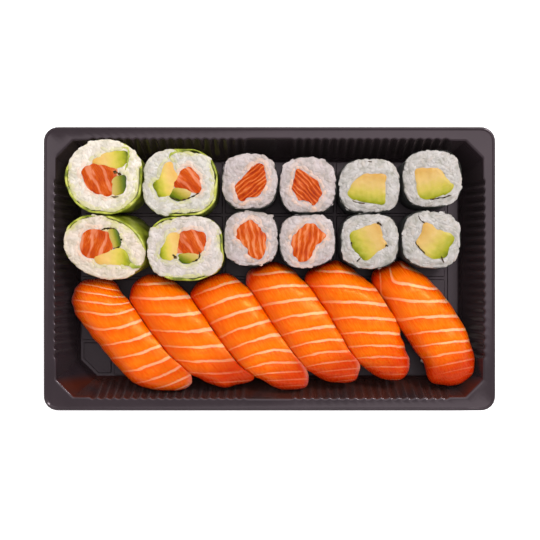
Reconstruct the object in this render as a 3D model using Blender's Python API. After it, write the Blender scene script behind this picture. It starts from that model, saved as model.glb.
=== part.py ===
"""A takeaway sushi tray: a black moulded tray packed with cut rolls and nigiri.

The tray holds four green-wrapped rolls, four salmon maki and four avocado maki, all standing
on end with their cut faces up, and six nigiri, each a rice block under a slab of salmon.

The origin is the middle of the tray's underside, +X runs along the long side, +Y points to
the side with the rolls and +Z is up. Lengths are in metres; the tables of plan shapes and the
Blob class state millimetres.
"""

import itertools
import math
from dataclasses import dataclass

import bmesh
import bpy
import numpy as np
from mathutils import Vector
from mathutils.geometry import tessellate_polygon

MM = 0.001

# Tray
TRAY_LENGTH = 215 * MM
TRAY_WIDTH = 135 * MM
RIM_HEIGHT = 25 * MM
RIM_CORNER_RADIUS = 6.7 * MM
OPENING_LENGTH = 203.4 * MM
OPENING_WIDTH = 122 * MM
CORNER_CUT = 8.3 * MM
WALL_RUN = 7.2 * MM
FLOOR_THICKNESS = 1.2 * MM
SHEET = 0.8 * MM
SKIRT_DEPTH = 2.6 * MM
BEAD_INSET = 1.1 * MM
BEAD_SLOPE = 0.4 * MM
BEAD_RISE = 0.4 * MM
RIM_CORNER_STEPS = 4

# Flutes of the tray's walls
FLUTE_PITCH = 4.09 * MM
FLUTE_DEPTH = 1.35 * MM
LONG_BANK_FLUTES = 18
SHORT_BANK_FLUTES = 21
RECESS_HALF = 10 * MM

# Food
GAP = 0.3 * MM
CONTACT_GAP = 0.4 * MM
FOOD_BASE = FLOOR_THICKNESS + GAP
GREEN_WRAP = 0.9 * MM
NORI = 0.6 * MM
ROLL_POINTS = 26
MAKI_POINTS = 20
FILLING_CORNER = 1 * MM
CORE_POINTS = 30
CONTACT_ROUNDS = 14

# Nigiri, from the rolls' end (low) to the wall's end (high)
CROWN = 30 * MM
DRAPE_LOW = 9 * MM
DRAPE_HIGH = 17 * MM
NIGIRI_TURN = -56
SLAB_EDGE = 2.6 * MM
SLAB_THICKNESS = 5.5 * MM
SLAB_SHARES = (1.0, 0.93, 0.75, 0.42)
RICE_SHARE = 0.8
RICE_BASE_SHARE = 0.72
RICE_WAIST = 7 * MM

COLOURS = {
    "black_plastic": (0.022, 0.016, 0.019),
    "green_wrap": (0.52, 0.58, 0.20),
    "nori": (0.028, 0.026, 0.020),
    "rice": (0.84, 0.80, 0.74),
    "salmon": (0.90, 0.27, 0.07),
    "avocado": (0.82, 0.72, 0.26),
    "cucumber": (0.62, 0.66, 0.36),
}
ROUGHNESS = {"black_plastic": 0.22, "salmon": 0.32, "rice": 0.6}
USUAL_ROUGHNESS = 0.45


@dataclass(frozen=True)
class Blob:
    """A rounded plan shape, in millimetres and degrees.

    squareness is 2 for an ellipse and more for a boxier shape.
    """

    x: float
    y: float
    length: float
    width: float
    squareness: float = 2.8
    turn: float = 0

    def loop(self, count):
        """The outline, counter-clockwise, as count points in metres."""
        angle = np.arange(count) * 2 * math.pi / count
        along, across = np.cos(angle), np.sin(angle)
        power = self.squareness
        reach = (abs(along) ** power + abs(across) ** power) ** (-1 / power)
        ahead = along * reach * self.length / 2
        side = across * reach * self.width / 2
        turn = math.radians(self.turn)
        x = self.x + ahead * math.cos(turn) - side * math.sin(turn)
        y = self.y + ahead * math.sin(turn) + side * math.cos(turn)
        return np.column_stack([x, y]) * MM


@dataclass(frozen=True)
class Roll:
    """A cut roll on end: its cut face, its height and the fillings that run through it.

    Each filling is the corners of its outline, counter-clockwise, in millimetres from the
    middle of the face.
    """

    face: Blob
    height: float
    fillings: dict
    lean: tuple = (0, 0)


GREEN_ROLLS = {
    "green_roll_1": Roll(
        Blob(-77.7, 43.3, 38.0, 36.4, squareness=2.0),
        30,
        {
            "salmon": [(-10.8, 3.5), (-9, -3.2), (-5.5, -7), (3, -9.3), (3, -2), (6, 1.6), (6, 3.5),
                       (-7.5, 5.6)],
            "avocado": [(-6.5, 6.8), (7.2, 4.6), (10, 5.8), (11.2, 10), (10, 12.3), (0, 11)],
            "cucumber": [(3.8, -9.2), (9.3, -7.2), (10, -1.5), (9.3, 1.2), (3.8, -1.8)],
        },
    ),
    "green_roll_2": Roll(
        Blob(-42.5, 40.6, 36.0, 32.6, squareness=2.7),
        29,
        {
            "salmon": [(-2.2, -2), (4.8, -3.4), (7.9, -5), (10.2, -3.8), (9.6, 1.5), (6.2, 6.7),
                       (3.2, 7.3), (0.2, 4.5)],
            "avocado": [(-7.3, 8.7), (-9, 1.2), (-12.4, 0.2), (-12, -2), (-9, -7.4), (-3.6, -4.6),
                        (-3, 1.4), (-1, 3.6), (-2.8, 5.4), (-3.8, 10.2)],
            "cucumber": [(-5, -6.8), (-1.6, -8.3), (2.2, -8.5), (5.4, -5.4), (4.6, -4), (-2, -3)],
        },
    ),
    "green_roll_3": Roll(
        Blob(-78.1, 10.3, 40.2, 29.8, squareness=2.1, turn=-19),
        29,
        {
            "salmon": [(-11.2, 1.5), (-10.6, -2.4), (-7, -5.6), (3.4, -1.4), (3.2, 2.8), (0.9, 7.4),
                       (-4.6, 8.5), (-9.4, 7.1)],
            "avocado": [(-4.8, -5.6), (-2.9, -8), (2.3, -7.8), (9.4, -8.4), (13.8, -8.9),
                        (11.5, -5.8), (10.3, -2), (7.7, -0.7), (3.6, -2.2)],
            "cucumber": [(4.3, 0), (8, 0.4), (7.4, 4), (6, 8.5), (3.7, 8.8), (1.8, 7.6), (4, 3)],
        },
        lean=(3.6, 3.2),
    ),
    "green_roll_4": Roll(
        Blob(-39.6, 9.7, 36.6, 31.0, squareness=2.8),
        30,
        {
            "salmon": [(-3.8, -2.4), (8, -2), (9.2, 0.6), (9.5, 6.8), (2.7, 8.5), (-2.4, 7.2)],
            "avocado": [(-9.4, 2), (-12.3, -1), (-11.5, -4.5), (-6.3, -5.8), (-4.7, -2.6), (-3.2, 7.5),
                        (-8.2, 6.6)],
            "cucumber": [(-4, -3.4), (-2.9, -6), (0, -7.4), (2.8, -6.6), (6.4, -5), (5.6, -2.9)],
        },
    ),
}

SALMON_MAKI = {
    "salmon_maki_1": Roll(
        Blob(-9.4, 41.4, 26.8, 27.0),
        29,
        {"salmon": [(2.8, 7.8), (-5.8, -1.4), (-7, -3.6), (-3.8, -10), (-0.9, -7), (3.7, -7.4),
                    (7.7, -1.4), (6.6, 7.8)]},
    ),
    "salmon_maki_2": Roll(
        Blob(18.2, 39.5, 27.4, 27.4),
        28.5,
        {"salmon": [(-5.4, 8.2), (-6.2, 2.2), (-7.3, -1), (-5.2, -6.8), (0.2, -6.8), (2.4, -10),
                    (5.3, -6.4), (6.6, -2.7), (3.8, 2.3)]},
    ),
    "salmon_maki_3": Roll(
        Blob(-8.7, 14.4, 27.0, 26.6, turn=-4),
        28.5,
        {"salmon": [(-4.8, 6.8), (-7.2, 2.2), (-5, -1.8), (-1.6, -4.4), (-0.8, -8), (4.4, -10.2),
                    (6.6, -6.2), (6.2, -1), (7.3, 0.8), (1, 8.6)]},
    ),
    "salmon_maki_4": Roll(
        Blob(17.8, 13.3, 27.2, 26.2, squareness=2.9, turn=5),
        29,
        {"salmon": [(-0.2, 7.9), (-7.2, 1.2), (-6.2, -6.6), (-4.1, -10.2), (1.4, -8.6), (2.6, -3.7),
                    (9.2, 2.7), (5, 5.2), (3.9, 8)]},
    ),
}

AVOCADO_MAKI = {
    "avocado_maki_1": Roll(
        Blob(47.4, 39.2, 29.2, 26.4, squareness=3.1, turn=1),
        28.5,
        {"avocado": [(-8.7, 0.8), (-8.8, -2), (-11, -3.4), (-8, -6.4), (7, -8.9), (7, 2.5),
                     (8.2, 5.1), (-2, 5.8)]},
    ),
    "avocado_maki_2": Roll(
        Blob(77.0, 42.7, 28.2, 27.4, squareness=3.1, turn=3),
        29,
        {"avocado": [(-8.3, 4.4), (-7.3, -3.3), (-6.6, -8.4), (-3, -9.9), (7.6, -7), (10.4, -3.4),
                     (6.8, -1), (3.6, 4.6)]},
    ),
    "avocado_maki_3": Roll(
        Blob(47.5, 13.1, 27.8, 27.0, squareness=3.2),
        28.5,
        {"avocado": [(-9.8, 3.6), (-7.8, -4), (-1.9, -9.5), (3.6, -4.6), (8.2, -2), (6, 1.4),
                     (4.4, 7.8), (2, 8)]},
    ),
    "avocado_maki_4": Roll(
        Blob(76.6, 13.8, 28.2, 27.4, squareness=3.2, turn=-4),
        29,
        {"avocado": [(-3.2, 8.4), (-4.8, 2), (-7.8, -1.4), (-2.8, -7), (0.4, -9), (6.7, -8.4),
                     (7.8, -3.6), (10.4, -1), (10.6, 2), (6, 3.2)]},
    ),
}

# Each slab's outline from above, counter-clockwise from its upper right, in millimetres
NIGIRI = {
    "nigiri_1": [(-76, -5.2), (-83.5, -4.8), (-90.5, -5.6), (-94.6, -9.5), (-96.2, -15), (-94, -22),
                 (-87.5, -30.5), (-79.5, -40), (-71, -49.8), (-63, -56.5), (-53.5, -59),
                 (-43, -58.3), (-37.2, -55), (-37.6, -50), (-48.3, -40.5), (-57.2, -29.6),
                 (-65, -18.5), (-73.5, -10)],
    "nigiri_2": [(-45.5, -6.5), (-51, -3.9), (-58, -2.8), (-63.5, -4.6), (-67, -9), (-67.4, -14.5),
                 (-64.3, -19), (-57, -29.4), (-48.2, -40.3), (-39.5, -48.5), (-31.5, -53.6),
                 (-22.5, -57.3), (-12.5, -54.8), (-6.2, -52), (-14.4, -46), (-22.4, -36),
                 (-31, -22.9), (-38.5, -13.3)],
    "nigiri_3": [(-16, -4.3), (-21.5, -1.6), (-28, -3.5), (-34.5, -6.5), (-38.6, -11.5),
                 (-37.5, -15), (-31, -22.8), (-22.3, -35.8), (-14.2, -45.8), (-6, -51.6),
                 (0, -55.4), (6, -58.4), (13, -57.6), (18.6, -57), (18.2, -50), (10.5, -39.3),
                 (1.8, -27), (-8, -12)],
    "nigiri_4": [(13.5, -3.4), (8, 1.8), (2.5, 3.4), (-4, 1.2), (-10, -0.5), (-11.3, -6.5),
                 (-8, -11.6), (1.8, -26.8), (10.4, -39), (18, -46.8), (22.8, -51.5), (29, -54.6),
                 (36, -54.6), (42, -53.6), (42.6, -47), (36.2, -35.8), (28.6, -22.6),
                 (19.8, -9.2)],
    "nigiri_5": [(43.5, -2.5), (38.5, 2), (32.5, 4.6), (25.5, 2), (18.5, -1.2), (16.8, -5.5),
                 (20.3, -10), (28.8, -22.8), (36.3, -35.8), (42.5, -44.5), (47.5, -49),
                 (54.5, -52.8), (60.5, -53.8), (64.8, -52.8), (67.4, -46.5), (64.7, -37),
                 (59.3, -24), (51.5, -11)],
    "nigiri_6": [(74.5, -2.5), (69.5, 1), (63.5, 4.6), (57, 1.4), (50.5, -0.8), (49, -5),
                 (54, -13.8), (62.3, -27.2), (71.2, -40.3), (75.3, -47), (77.6, -55.2),
                 (85.5, -56), (92, -55.4), (97.8, -51), (99, -44), (96.5, -35), (91.8, -24),
                 (84, -12.8)],
}

ALL_ROLLS = {**GREEN_ROLLS, **SALMON_MAKI, **AVOCADO_MAKI}


class Skin:
    """Collects closed loops of points and the faces between them into one closed mesh."""

    def __init__(self):
        self.points = []
        self.faces = []

    def loop(self, plan, height):
        """Adds a loop of plan points; height is one number or one for each point."""
        start = len(self.points)
        heights = np.broadcast_to(height, len(plan))
        self.points += [(x, y, z) for (x, y), z in zip(plan, heights)]
        return list(range(start, len(self.points)))

    def band(self, first, second):
        """Triangles between two loops with the same number of points.

        Each square splits from first[i] to second[i + 1], so that the facing sides of two
        solids split alike when both name their lower loop first.
        """
        for i, j in zip(range(-1, len(first) - 1), range(len(first))):
            self.faces.append((first[i], first[j], second[j]))
            self.faces.append((first[i], second[j], second[i]))

    def stack(self, loops):
        for first, second in zip(loops, loops[1:]):
            self.band(first, second)

    def fan(self, loop, rise=0.0):
        """Closes a loop with triangles that meet at its middle."""
        middle = np.mean([self.points[i] for i in loop], axis=0)
        self.points.append((middle[0], middle[1], middle[2] + rise))
        tip = len(self.points) - 1
        for i, j in zip(loop, loop[1:] + loop[:1]):
            self.faces.append((i, j, tip))

    def plate(self, outer, hole):
        """The flat face between two loops at one height, one inside the other."""
        corners = outer + hole
        rims = [[Vector(self.points[i]) / MM for i in loop] for loop in (outer, hole)]
        for face in tessellate_polygon(rims):
            self.faces.append([corners[i] for i in face])

    def build(self, name, slot):
        mesh = bpy.data.meshes.new(name)
        shell = bmesh.new()
        corners = [shell.verts.new(point) for point in self.points]
        for face in self.faces:
            shell.faces.new([corners[i] for i in face])
        bmesh.ops.recalc_face_normals(shell, faces=shell.faces)
        shell.to_mesh(mesh)
        shell.free()
        mesh.shade_smooth()
        mesh.set_sharp_from_angle(angle=math.radians(35))
        mesh.materials.append(material(slot))
        solid = bpy.data.objects.new(name, mesh)
        bpy.context.scene.collection.objects.link(solid)
        return solid


def material(slot):
    """The slot's material, made the first time it is asked for."""
    found = bpy.data.materials.get(slot)
    if found:
        return found
    made = bpy.data.materials.new(slot)
    made.use_nodes = True
    shader = made.node_tree.nodes["Principled BSDF"]
    shader.inputs["Base Color"].default_value = (*COLOURS[slot], 1)
    shader.inputs["Roughness"].default_value = ROUGHNESS.get(slot, USUAL_ROUGHNESS)
    return made


def clear_scene():
    for thing in list(bpy.data.objects):
        bpy.data.objects.remove(thing, do_unlink=True)


# ---- Tray ----


def bank(first_valley, flutes):
    """One bank of flutes as (distance along the side, share of the depth), valley to valley."""
    return [(first_valley + step * FLUTE_PITCH / 2, step % 2) for step in range(2 * flutes + 1)]


def side_stations(is_long, half_length):
    """The stations along one side of the opening, from corner to corner."""
    if not is_long:
        flutes = bank(-SHORT_BANK_FLUTES * FLUTE_PITCH / 2, SHORT_BANK_FLUTES)
        return [(-half_length, 0), *flutes, (half_length, 0)]
    inner_valley = RECESS_HALF + FLUTE_PITCH / 2
    right = [(RECESS_HALF, 1), *bank(inner_valley, LONG_BANK_FLUTES), (half_length, 0)]
    left = [(-along, depth) for along, depth in reversed(right)]
    return left + right


def wall_loop(half_x, half_y, flute_depth):
    """The opening's outline: a rectangle with cut corners and fluted sides."""
    points = []
    for quarter in range(4):
        is_long = quarter % 2 == 1
        reach, half_side = (half_y, half_x) if is_long else (half_x, half_y)
        for along, depth in side_stations(is_long, half_side - CORNER_CUT):
            out = reach + depth * flute_depth
            spot = {0: (out, along), 1: (-along, out), 2: (-out, -along), 3: (along, -out)}
            points.append(spot[quarter])
    return np.array(points)


def rim_loop(inset):
    """The flange's outer outline, moved in by inset: a rectangle with round corners."""
    radius = RIM_CORNER_RADIUS - inset
    middle_x = TRAY_LENGTH / 2 - RIM_CORNER_RADIUS
    middle_y = TRAY_WIDTH / 2 - RIM_CORNER_RADIUS
    points = []
    for corner, (side_x, side_y) in enumerate([(1, -1), (1, 1), (-1, 1), (-1, -1)]):
        for step in range(RIM_CORNER_STEPS + 1):
            angle = math.pi / 2 * (corner - 1 + step / RIM_CORNER_STEPS)
            x = side_x * middle_x + radius * math.cos(angle)
            y = side_y * middle_y + radius * math.sin(angle)
            points.append((x, y))
    return np.array(points)


def build_tray():
    """One moulded sheet: floor, fluted walls, flange with a bead, and a turned-down skirt."""
    top_x, top_y = OPENING_LENGTH / 2, OPENING_WIDTH / 2
    slope = WALL_RUN / (RIM_HEIGHT - FLOOR_THICKNESS)
    outer_floor = SHEET - slope * FLOOR_THICKNESS
    outer_top = SHEET - slope * SHEET
    flange_under = RIM_HEIGHT - SHEET

    tray = Skin()
    floor = tray.loop(wall_loop(top_x - WALL_RUN, top_y - WALL_RUN, 0), FLOOR_THICKNESS)
    mouth = tray.loop(wall_loop(top_x, top_y, FLUTE_DEPTH), RIM_HEIGHT)
    bead_top = RIM_HEIGHT + BEAD_RISE
    rim = [
        tray.loop(rim_loop(BEAD_INSET + BEAD_SLOPE), RIM_HEIGHT),
        tray.loop(rim_loop(BEAD_INSET), bead_top),
        tray.loop(rim_loop(BEAD_SLOPE), bead_top),
        tray.loop(rim_loop(0), RIM_HEIGHT),
        tray.loop(rim_loop(0), RIM_HEIGHT - SKIRT_DEPTH),
        tray.loop(rim_loop(SHEET), RIM_HEIGHT - SKIRT_DEPTH),
        tray.loop(rim_loop(SHEET), flange_under),
    ]
    outer_mouth = tray.loop(
        wall_loop(top_x + outer_top, top_y + outer_top, FLUTE_DEPTH), flange_under
    )
    under_x = top_x - WALL_RUN + outer_floor
    under_y = top_y - WALL_RUN + outer_floor
    underside = tray.loop(wall_loop(under_x, under_y, 0), 0)

    tray.fan(floor)
    tray.band(floor, mouth)
    tray.plate(rim[0], mouth)
    tray.stack(rim)
    tray.plate(rim[-1], outer_mouth)
    tray.band(outer_mouth, underside)
    tray.fan(underside)
    tray.build("tray", "black_plastic")


# ---- How the pieces share the tray ----


def nearest_on(loop, points):
    """For each point: its distance to the closed loop, negative inside, and the way out."""
    start, end = loop, np.roll(loop, -1, axis=0)
    run = end - start
    offset = points[:, None] - start
    share = np.clip((offset * run).sum(2) / (run**2).sum(1), 0, 1)
    away = offset - share[..., None] * run
    far = np.linalg.norm(away, axis=2)
    best = far.argmin(1)
    row = np.arange(len(points))
    distance = np.maximum(far[row, best], 1e-9)

    above = (start[:, 1] > points[:, 1:]) != (end[:, 1] > points[:, 1:])
    rise = np.where(run[:, 1] == 0, 1e-12, run[:, 1])
    crossing = start[:, 0] + (points[:, 1:] - start[:, 1]) * run[:, 0] / rise
    inside = (above & (crossing > points[:, :1])).sum(1) % 2 == 1
    sign = np.where(inside, -1.0, 1.0)
    outward = away[row, best] * (sign / distance)[:, None]
    return sign * distance, outward


def keep_in_tray(loop, height):
    """Brings a loop inside the tray's wall at that height."""
    ease = WALL_RUN * (1 - (height - FLOOR_THICKNESS) / (RIM_HEIGHT - FLOOR_THICKNESS))
    half_x = OPENING_LENGTH / 2 - ease - CONTACT_GAP
    half_y = OPENING_WIDTH / 2 - ease - CONTACT_GAP
    loop = np.clip(loop, (-half_x, -half_y), (half_x, half_y))
    over = abs(loop).sum(1) - (half_x + half_y - CORNER_CUT)
    return loop - np.sign(loop) * np.maximum(over, 0)[:, None] / 2


def press_apart(loops, heights=None, fixed=()):
    """Soft pieces press flat where they meet, until each pair is a contact gap apart.

    heights holds the height at which the tray's wall limits each piece, and the fixed
    pieces don't give way.
    """
    loops = dict(loops)
    for _ in range(CONTACT_ROUNDS):
        for name, other in itertools.permutations(loops, 2):
            if name not in fixed:
                distance, outward = nearest_on(loops[other], loops[name])
                give = 1.0 if other in fixed else 0.5
                short = np.maximum(CONTACT_GAP - distance, 0) * give
                loops[name] = loops[name] + outward * short[:, None]
        for name in heights or ():
            loops[name] = keep_in_tray(loops[name], heights[name])
    return loops


def plan_of_faces():
    """Every piece's outline as seen from above, pressed against its neighbours."""
    loops, heights = {}, {}
    for name, roll in ALL_ROLLS.items():
        count = ROLL_POINTS if name in GREEN_ROLLS else MAKI_POINTS
        loops[name] = roll.face.loop(count)
        heights[name] = roll.height * MM
    for name, outline in NIGIRI.items():
        loops[name] = np.array(outline) * MM
        heights[name] = DRAPE_HIGH
    return press_apart(loops, heights)


def plan_of_bases(faces):
    """The rolls' outlines on the floor, clear of the nigiri and of the wall's foot."""
    loops = dict(faces)
    for name, roll in ALL_ROLLS.items():
        loops[name] = faces[name] + np.array(roll.lean) * MM
    heights = dict.fromkeys(ALL_ROLLS, FLOOR_THICKNESS)
    return press_apart(loops, heights, fixed=NIGIRI.keys())


# ---- Rolls ----


def inset(loop, distance):
    """The loop moved in by distance, square to its edges."""
    ahead = np.roll(loop, -1, axis=0) - loop
    behind = loop - np.roll(loop, 1, axis=0)
    ahead /= np.linalg.norm(ahead, axis=1)[:, None]
    behind /= np.linalg.norm(behind, axis=1)[:, None]
    tangent = ahead + behind
    tangent /= np.linalg.norm(tangent, axis=1)[:, None]
    inward = np.column_stack([-tangent[:, 1], tangent[:, 0]])
    mitre = 1 / np.maximum((tangent * ahead).sum(1), 0.5)
    return loop + inward * distance * mitre[:, None]


def between(loop, steps):
    """The loop with steps points along each of its sides."""
    shares = np.arange(steps)[:, None, None] / steps
    points = loop + (np.roll(loop, -1, axis=0) - loop) * shares
    return points.transpose(1, 0, 2).reshape(-1, 2)


def blunted(corners, middle):
    """A filling's outline, in metres, with each of its corners cut short."""
    corners = (np.array(corners) + middle) * MM
    loop = []
    for i, corner in enumerate(corners):
        for neighbour in (corners[i - 1], corners[(i + 1) % len(corners)]):
            share = min(0.4, FILLING_CORNER / math.dist(neighbour, corner))
            loop.append(corner + (neighbour - corner) * share)
    return np.array(loop)


def cavity(fillings):
    """The loop that the rice leaves open for its fillings."""
    grown = [inset(loop, -GAP) for loop in fillings]
    if len(grown) == 1:
        return grown[0]
    dense = np.concatenate([between(loop, CORE_POINTS) for loop in grown])
    middle = dense.mean(0)
    offset = dense - middle
    angles = np.arctan2(offset[:, 1], offset[:, 0])
    step = 2 * math.pi / CORE_POINTS
    loop = []
    for angle in np.arange(CORE_POINTS) * step:
        apart = abs((angles - angle + math.pi) % (2 * math.pi) - math.pi)
        reach = np.linalg.norm(offset[apart < 0.7 * step], axis=1).max()
        loop.append(middle + reach * np.array([math.cos(angle), math.sin(angle)]))
    return np.array(loop)


def settle(loop, face, base):
    """A loop of the cut face, stretched and moved as the base is against the face."""
    face_low, base_low = face.min(0), base.min(0)
    stretch = (base.max(0) - base_low) / (face.max(0) - face_low)
    return base_low + (loop - face_low) * stretch


def ring(name, slot, base_loops, top_loops, top):
    """A sleeve between an outer and an inner loop, from the food's base to its top."""
    sleeve = Skin()
    outer_base, inner_base = (sleeve.loop(loop, FOOD_BASE) for loop in base_loops)
    outer_top, inner_top = (sleeve.loop(loop, top) for loop in top_loops)
    sleeve.plate(outer_base, inner_base)
    sleeve.band(outer_base, outer_top)
    sleeve.band(inner_base, inner_top)
    sleeve.plate(outer_top, inner_top)
    sleeve.build(name, slot)


def column(name, slot, base_loop, top_loop, top):
    """A filling: a column from base to top."""
    body = Skin()
    low, high = body.loop(base_loop, FOOD_BASE), body.loop(top_loop, top)
    body.fan(low)
    body.band(low, high)
    body.fan(high)
    body.build(name, slot)


def build_roll(name, roll, face, base, skin_name, skin_thickness):
    """The skin, the rice and the fillings of one roll."""
    top = roll.height * MM
    ring(
        f"{name}_{skin_name}",
        skin_name,
        (base, inset(base, skin_thickness)),
        (face, inset(face, skin_thickness)),
        top,
    )
    middle = (roll.face.x, roll.face.y)
    fillings = press_apart(
        {kind: blunted(corners, middle) for kind, corners in roll.fillings.items()}
    )
    rice_face = inset(face, skin_thickness + GAP)
    rice_base = inset(base, skin_thickness + GAP)
    core = cavity(fillings.values())
    core_base = settle(core, face, base)
    ring(f"{name}_rice", "rice", (rice_base, core_base), (rice_face, core), top)
    for kind, outline in fillings.items():
        column(f"{name}_{kind}", kind, settle(outline, face, base), outline, top)


# ---- Nigiri ----


def dome(share):
    """Height share of the slab's top, from 1 in the middle to 0 at the outline."""
    return (1 - share**3.4) ** 0.6


def build_nigiri(name, outline):
    """A block of rice under a slab of salmon that drapes over it on every side."""
    middle = outline.mean(0)
    turn = math.radians(NIGIRI_TURN)
    along = outline @ np.array([math.cos(turn), math.sin(turn)])
    share_along = (along - along.min()) / (along.max() - along.min())
    drape = DRAPE_LOW + (DRAPE_HIGH - DRAPE_LOW) * share_along

    def scaled(share):
        return middle + (outline - middle) * share

    def slab_top(share):
        edge = drape + SLAB_EDGE
        return edge + (CROWN - edge) * dome(share)

    slab = Skin()
    above = [slab.loop(scaled(share), slab_top(share)) for share in SLAB_SHARES]
    hem = slab.loop(scaled(0.97), drape)
    below = [
        slab.loop(scaled(share), slab_top(share) - SLAB_THICKNESS) for share in SLAB_SHARES[2:]
    ]
    slab.stack(above)
    slab.fan(above[-1], rise=0.4 * MM)
    slab.band(above[0], hem)
    slab.stack([hem, *below])
    slab.fan(below[-1], rise=0.4 * MM)
    slab.build(f"{name}_salmon", "salmon")

    rice = Skin()
    foot = rice.loop(scaled(RICE_BASE_SHARE), FOOD_BASE)
    waist = rice.loop(scaled(RICE_SHARE), RICE_WAIST)
    shoulder = [
        rice.loop(scaled(share), slab_top(share) - SLAB_THICKNESS - GAP)
        for share in SLAB_SHARES[2:]
    ]
    rice.fan(foot)
    rice.stack([foot, waist, *shoulder])
    rice.fan(shoulder[-1], rise=0.4 * MM)
    rice.build(f"{name}_rice", "rice")


def build():
    clear_scene()
    build_tray()
    faces = plan_of_faces()
    bases = plan_of_bases(faces)
    for name, roll in ALL_ROLLS.items():
        skin = ("green_wrap", GREEN_WRAP) if name in GREEN_ROLLS else ("nori", NORI)
        build_roll(name, roll, faces[name], bases[name], *skin)
    for name in NIGIRI:
        build_nigiri(name, faces[name])


build()
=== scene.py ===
"""The looks of a takeaway sushi tray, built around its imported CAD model.

Outlines, heights and places are read from the CAD nodes, and each node is replaced by a
detailed piece: a thin moulded tray with fluted walls, real grains of rice packed round the
fillings and under the fish, wrinkled seaweed, green wraps, and slabs of salmon with their
lines of fat. Lengths are in metres and angles in degrees, unless a name says otherwise.
"""

import math
import zlib
from dataclasses import dataclass

import bpy
import numpy as np
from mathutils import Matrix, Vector
from mathutils.geometry import delaunay_2d_cdt


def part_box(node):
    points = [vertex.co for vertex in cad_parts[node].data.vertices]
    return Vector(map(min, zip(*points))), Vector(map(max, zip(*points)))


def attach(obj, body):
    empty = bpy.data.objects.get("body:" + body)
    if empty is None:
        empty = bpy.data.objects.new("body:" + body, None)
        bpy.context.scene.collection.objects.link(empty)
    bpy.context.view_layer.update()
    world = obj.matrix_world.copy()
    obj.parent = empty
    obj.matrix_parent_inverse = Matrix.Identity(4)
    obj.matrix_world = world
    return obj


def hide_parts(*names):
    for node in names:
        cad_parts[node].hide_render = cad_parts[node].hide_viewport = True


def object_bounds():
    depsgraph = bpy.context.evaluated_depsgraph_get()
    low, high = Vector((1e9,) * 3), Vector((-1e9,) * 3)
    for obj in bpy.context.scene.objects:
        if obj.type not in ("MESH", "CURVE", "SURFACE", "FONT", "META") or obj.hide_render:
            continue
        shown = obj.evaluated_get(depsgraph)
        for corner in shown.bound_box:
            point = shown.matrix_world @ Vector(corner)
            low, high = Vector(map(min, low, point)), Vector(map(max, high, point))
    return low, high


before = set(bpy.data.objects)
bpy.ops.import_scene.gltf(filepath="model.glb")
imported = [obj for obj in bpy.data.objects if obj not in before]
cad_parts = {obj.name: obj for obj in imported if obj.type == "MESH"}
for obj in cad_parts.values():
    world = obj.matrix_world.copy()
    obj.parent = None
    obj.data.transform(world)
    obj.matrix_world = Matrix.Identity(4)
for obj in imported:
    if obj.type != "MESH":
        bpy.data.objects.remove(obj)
cad_low, cad_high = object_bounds()

MM = 0.001

# Camera, lights and stage
CAMERA_OVER_RIM = 500 * MM
FIELD_AT_RIM = 256.9 * MM
CAMERA_X = 0.24 * MM
CAMERA_Y = -0.59 * MM
SENSOR = 36
FLOOR_HALF = 6
# Each light's place, size and power
LIGHTS = {
    "key": ((0.42, 0.40, 0.75), 0.15, 3.7),
    "overhead": ((0.15, 0.38, 1.1), 0.9, 3.5),
    "fill": ((-0.55, -0.42, 0.6), 0.6, 0.35),
}
# How bright the sky is at two heights, from 0 level to 1 overhead
SKY = ((0.12, 1.0), (0.55, 0.64))

# Tray
FLOOR_Z = 1.2 * MM
RIM_Z = 25 * MM
RIM_RADIUS = 6.7 * MM
SHEET = 0.6 * MM
SKIRT = 2.5 * MM
STATION_SPACING = 2 * MM
FLUTE_STEPS = 5
FLUTE_GROWTH = 0.55  # the power by which the flutes deepen with height
FLUTE_FADE = 0.45  # how much of their depth they lose at the rim
GROOVE = 1.2 * MM
GROOVE_SLOPE = 0.35 * MM
GROOVES_X = [-78.2 * MM + 55.4 * MM * step for step in range(4)]
GROOVES_Y = [-36.1 * MM + 31.5 * MM * step for step in range(3)]
TILE_MARGIN = 0.7 * MM
TILE_CUT = 0.5 * MM
CORNER_TILE_MARGIN = 1.8 * MM
CORNER_TILE_CUT = 7.5 * MM
SIDE_TILE_CUT = 3 * MM

# Rice
GRAIN_LENGTH = 5.4 * MM
GRAIN_WIDTH = 2.35 * MM
GRAIN_SPACING = 1.6 * MM
RIM_GRAIN_SPACING = 1.9 * MM
RIM_ROW_IN = 0.95 * MM  # how far in from the rim its own row of grains lies
RIM_ROW_ROOM = 1.7 * MM
LEAST_ROOM = 0.5 * MM
LOOSE_ROOM = 2.2 * MM  # grains with more room than this lie any way round
HEADING_SPREAD = 0.22  # radians, as is the next
TILT_SPREAD = 0.42
RICE_POINTS = 96
RICE_DEPTH = 0.34 * MM
CUT_SQUASH = 0.12  # how much of what a grain rises over the cut is left
# how strongly the rice is painted with the glow of the fillings beside it
PAINTED_GLOW_STRENGTH = 0.75
BLOCK_GRAIN_TRIES = 2600
BLOCK_GRAIN_GAP = 1.5 * MM
BLOCK_TOP = 17 * MM
BLOCK_CORE = 0.88  # the size of the core in a block of rice

# Skins and fillings
ROLL_SOFTNESS = 1.2 * MM
SKIN_POINTS = 220
NORI_SHEET = 0.3 * MM
WRAP_SHEET = 1.1 * MM
FILLING_SPACING = 0.55 * MM
FILLING_SOFTNESS = 0.45 * MM
FILLING_GAP = 2.2 * MM
STRIP_SIDES = 8
STRIP_RISE = 0.12 * MM
STRIP_DEPTH = 1.5 * MM

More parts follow.
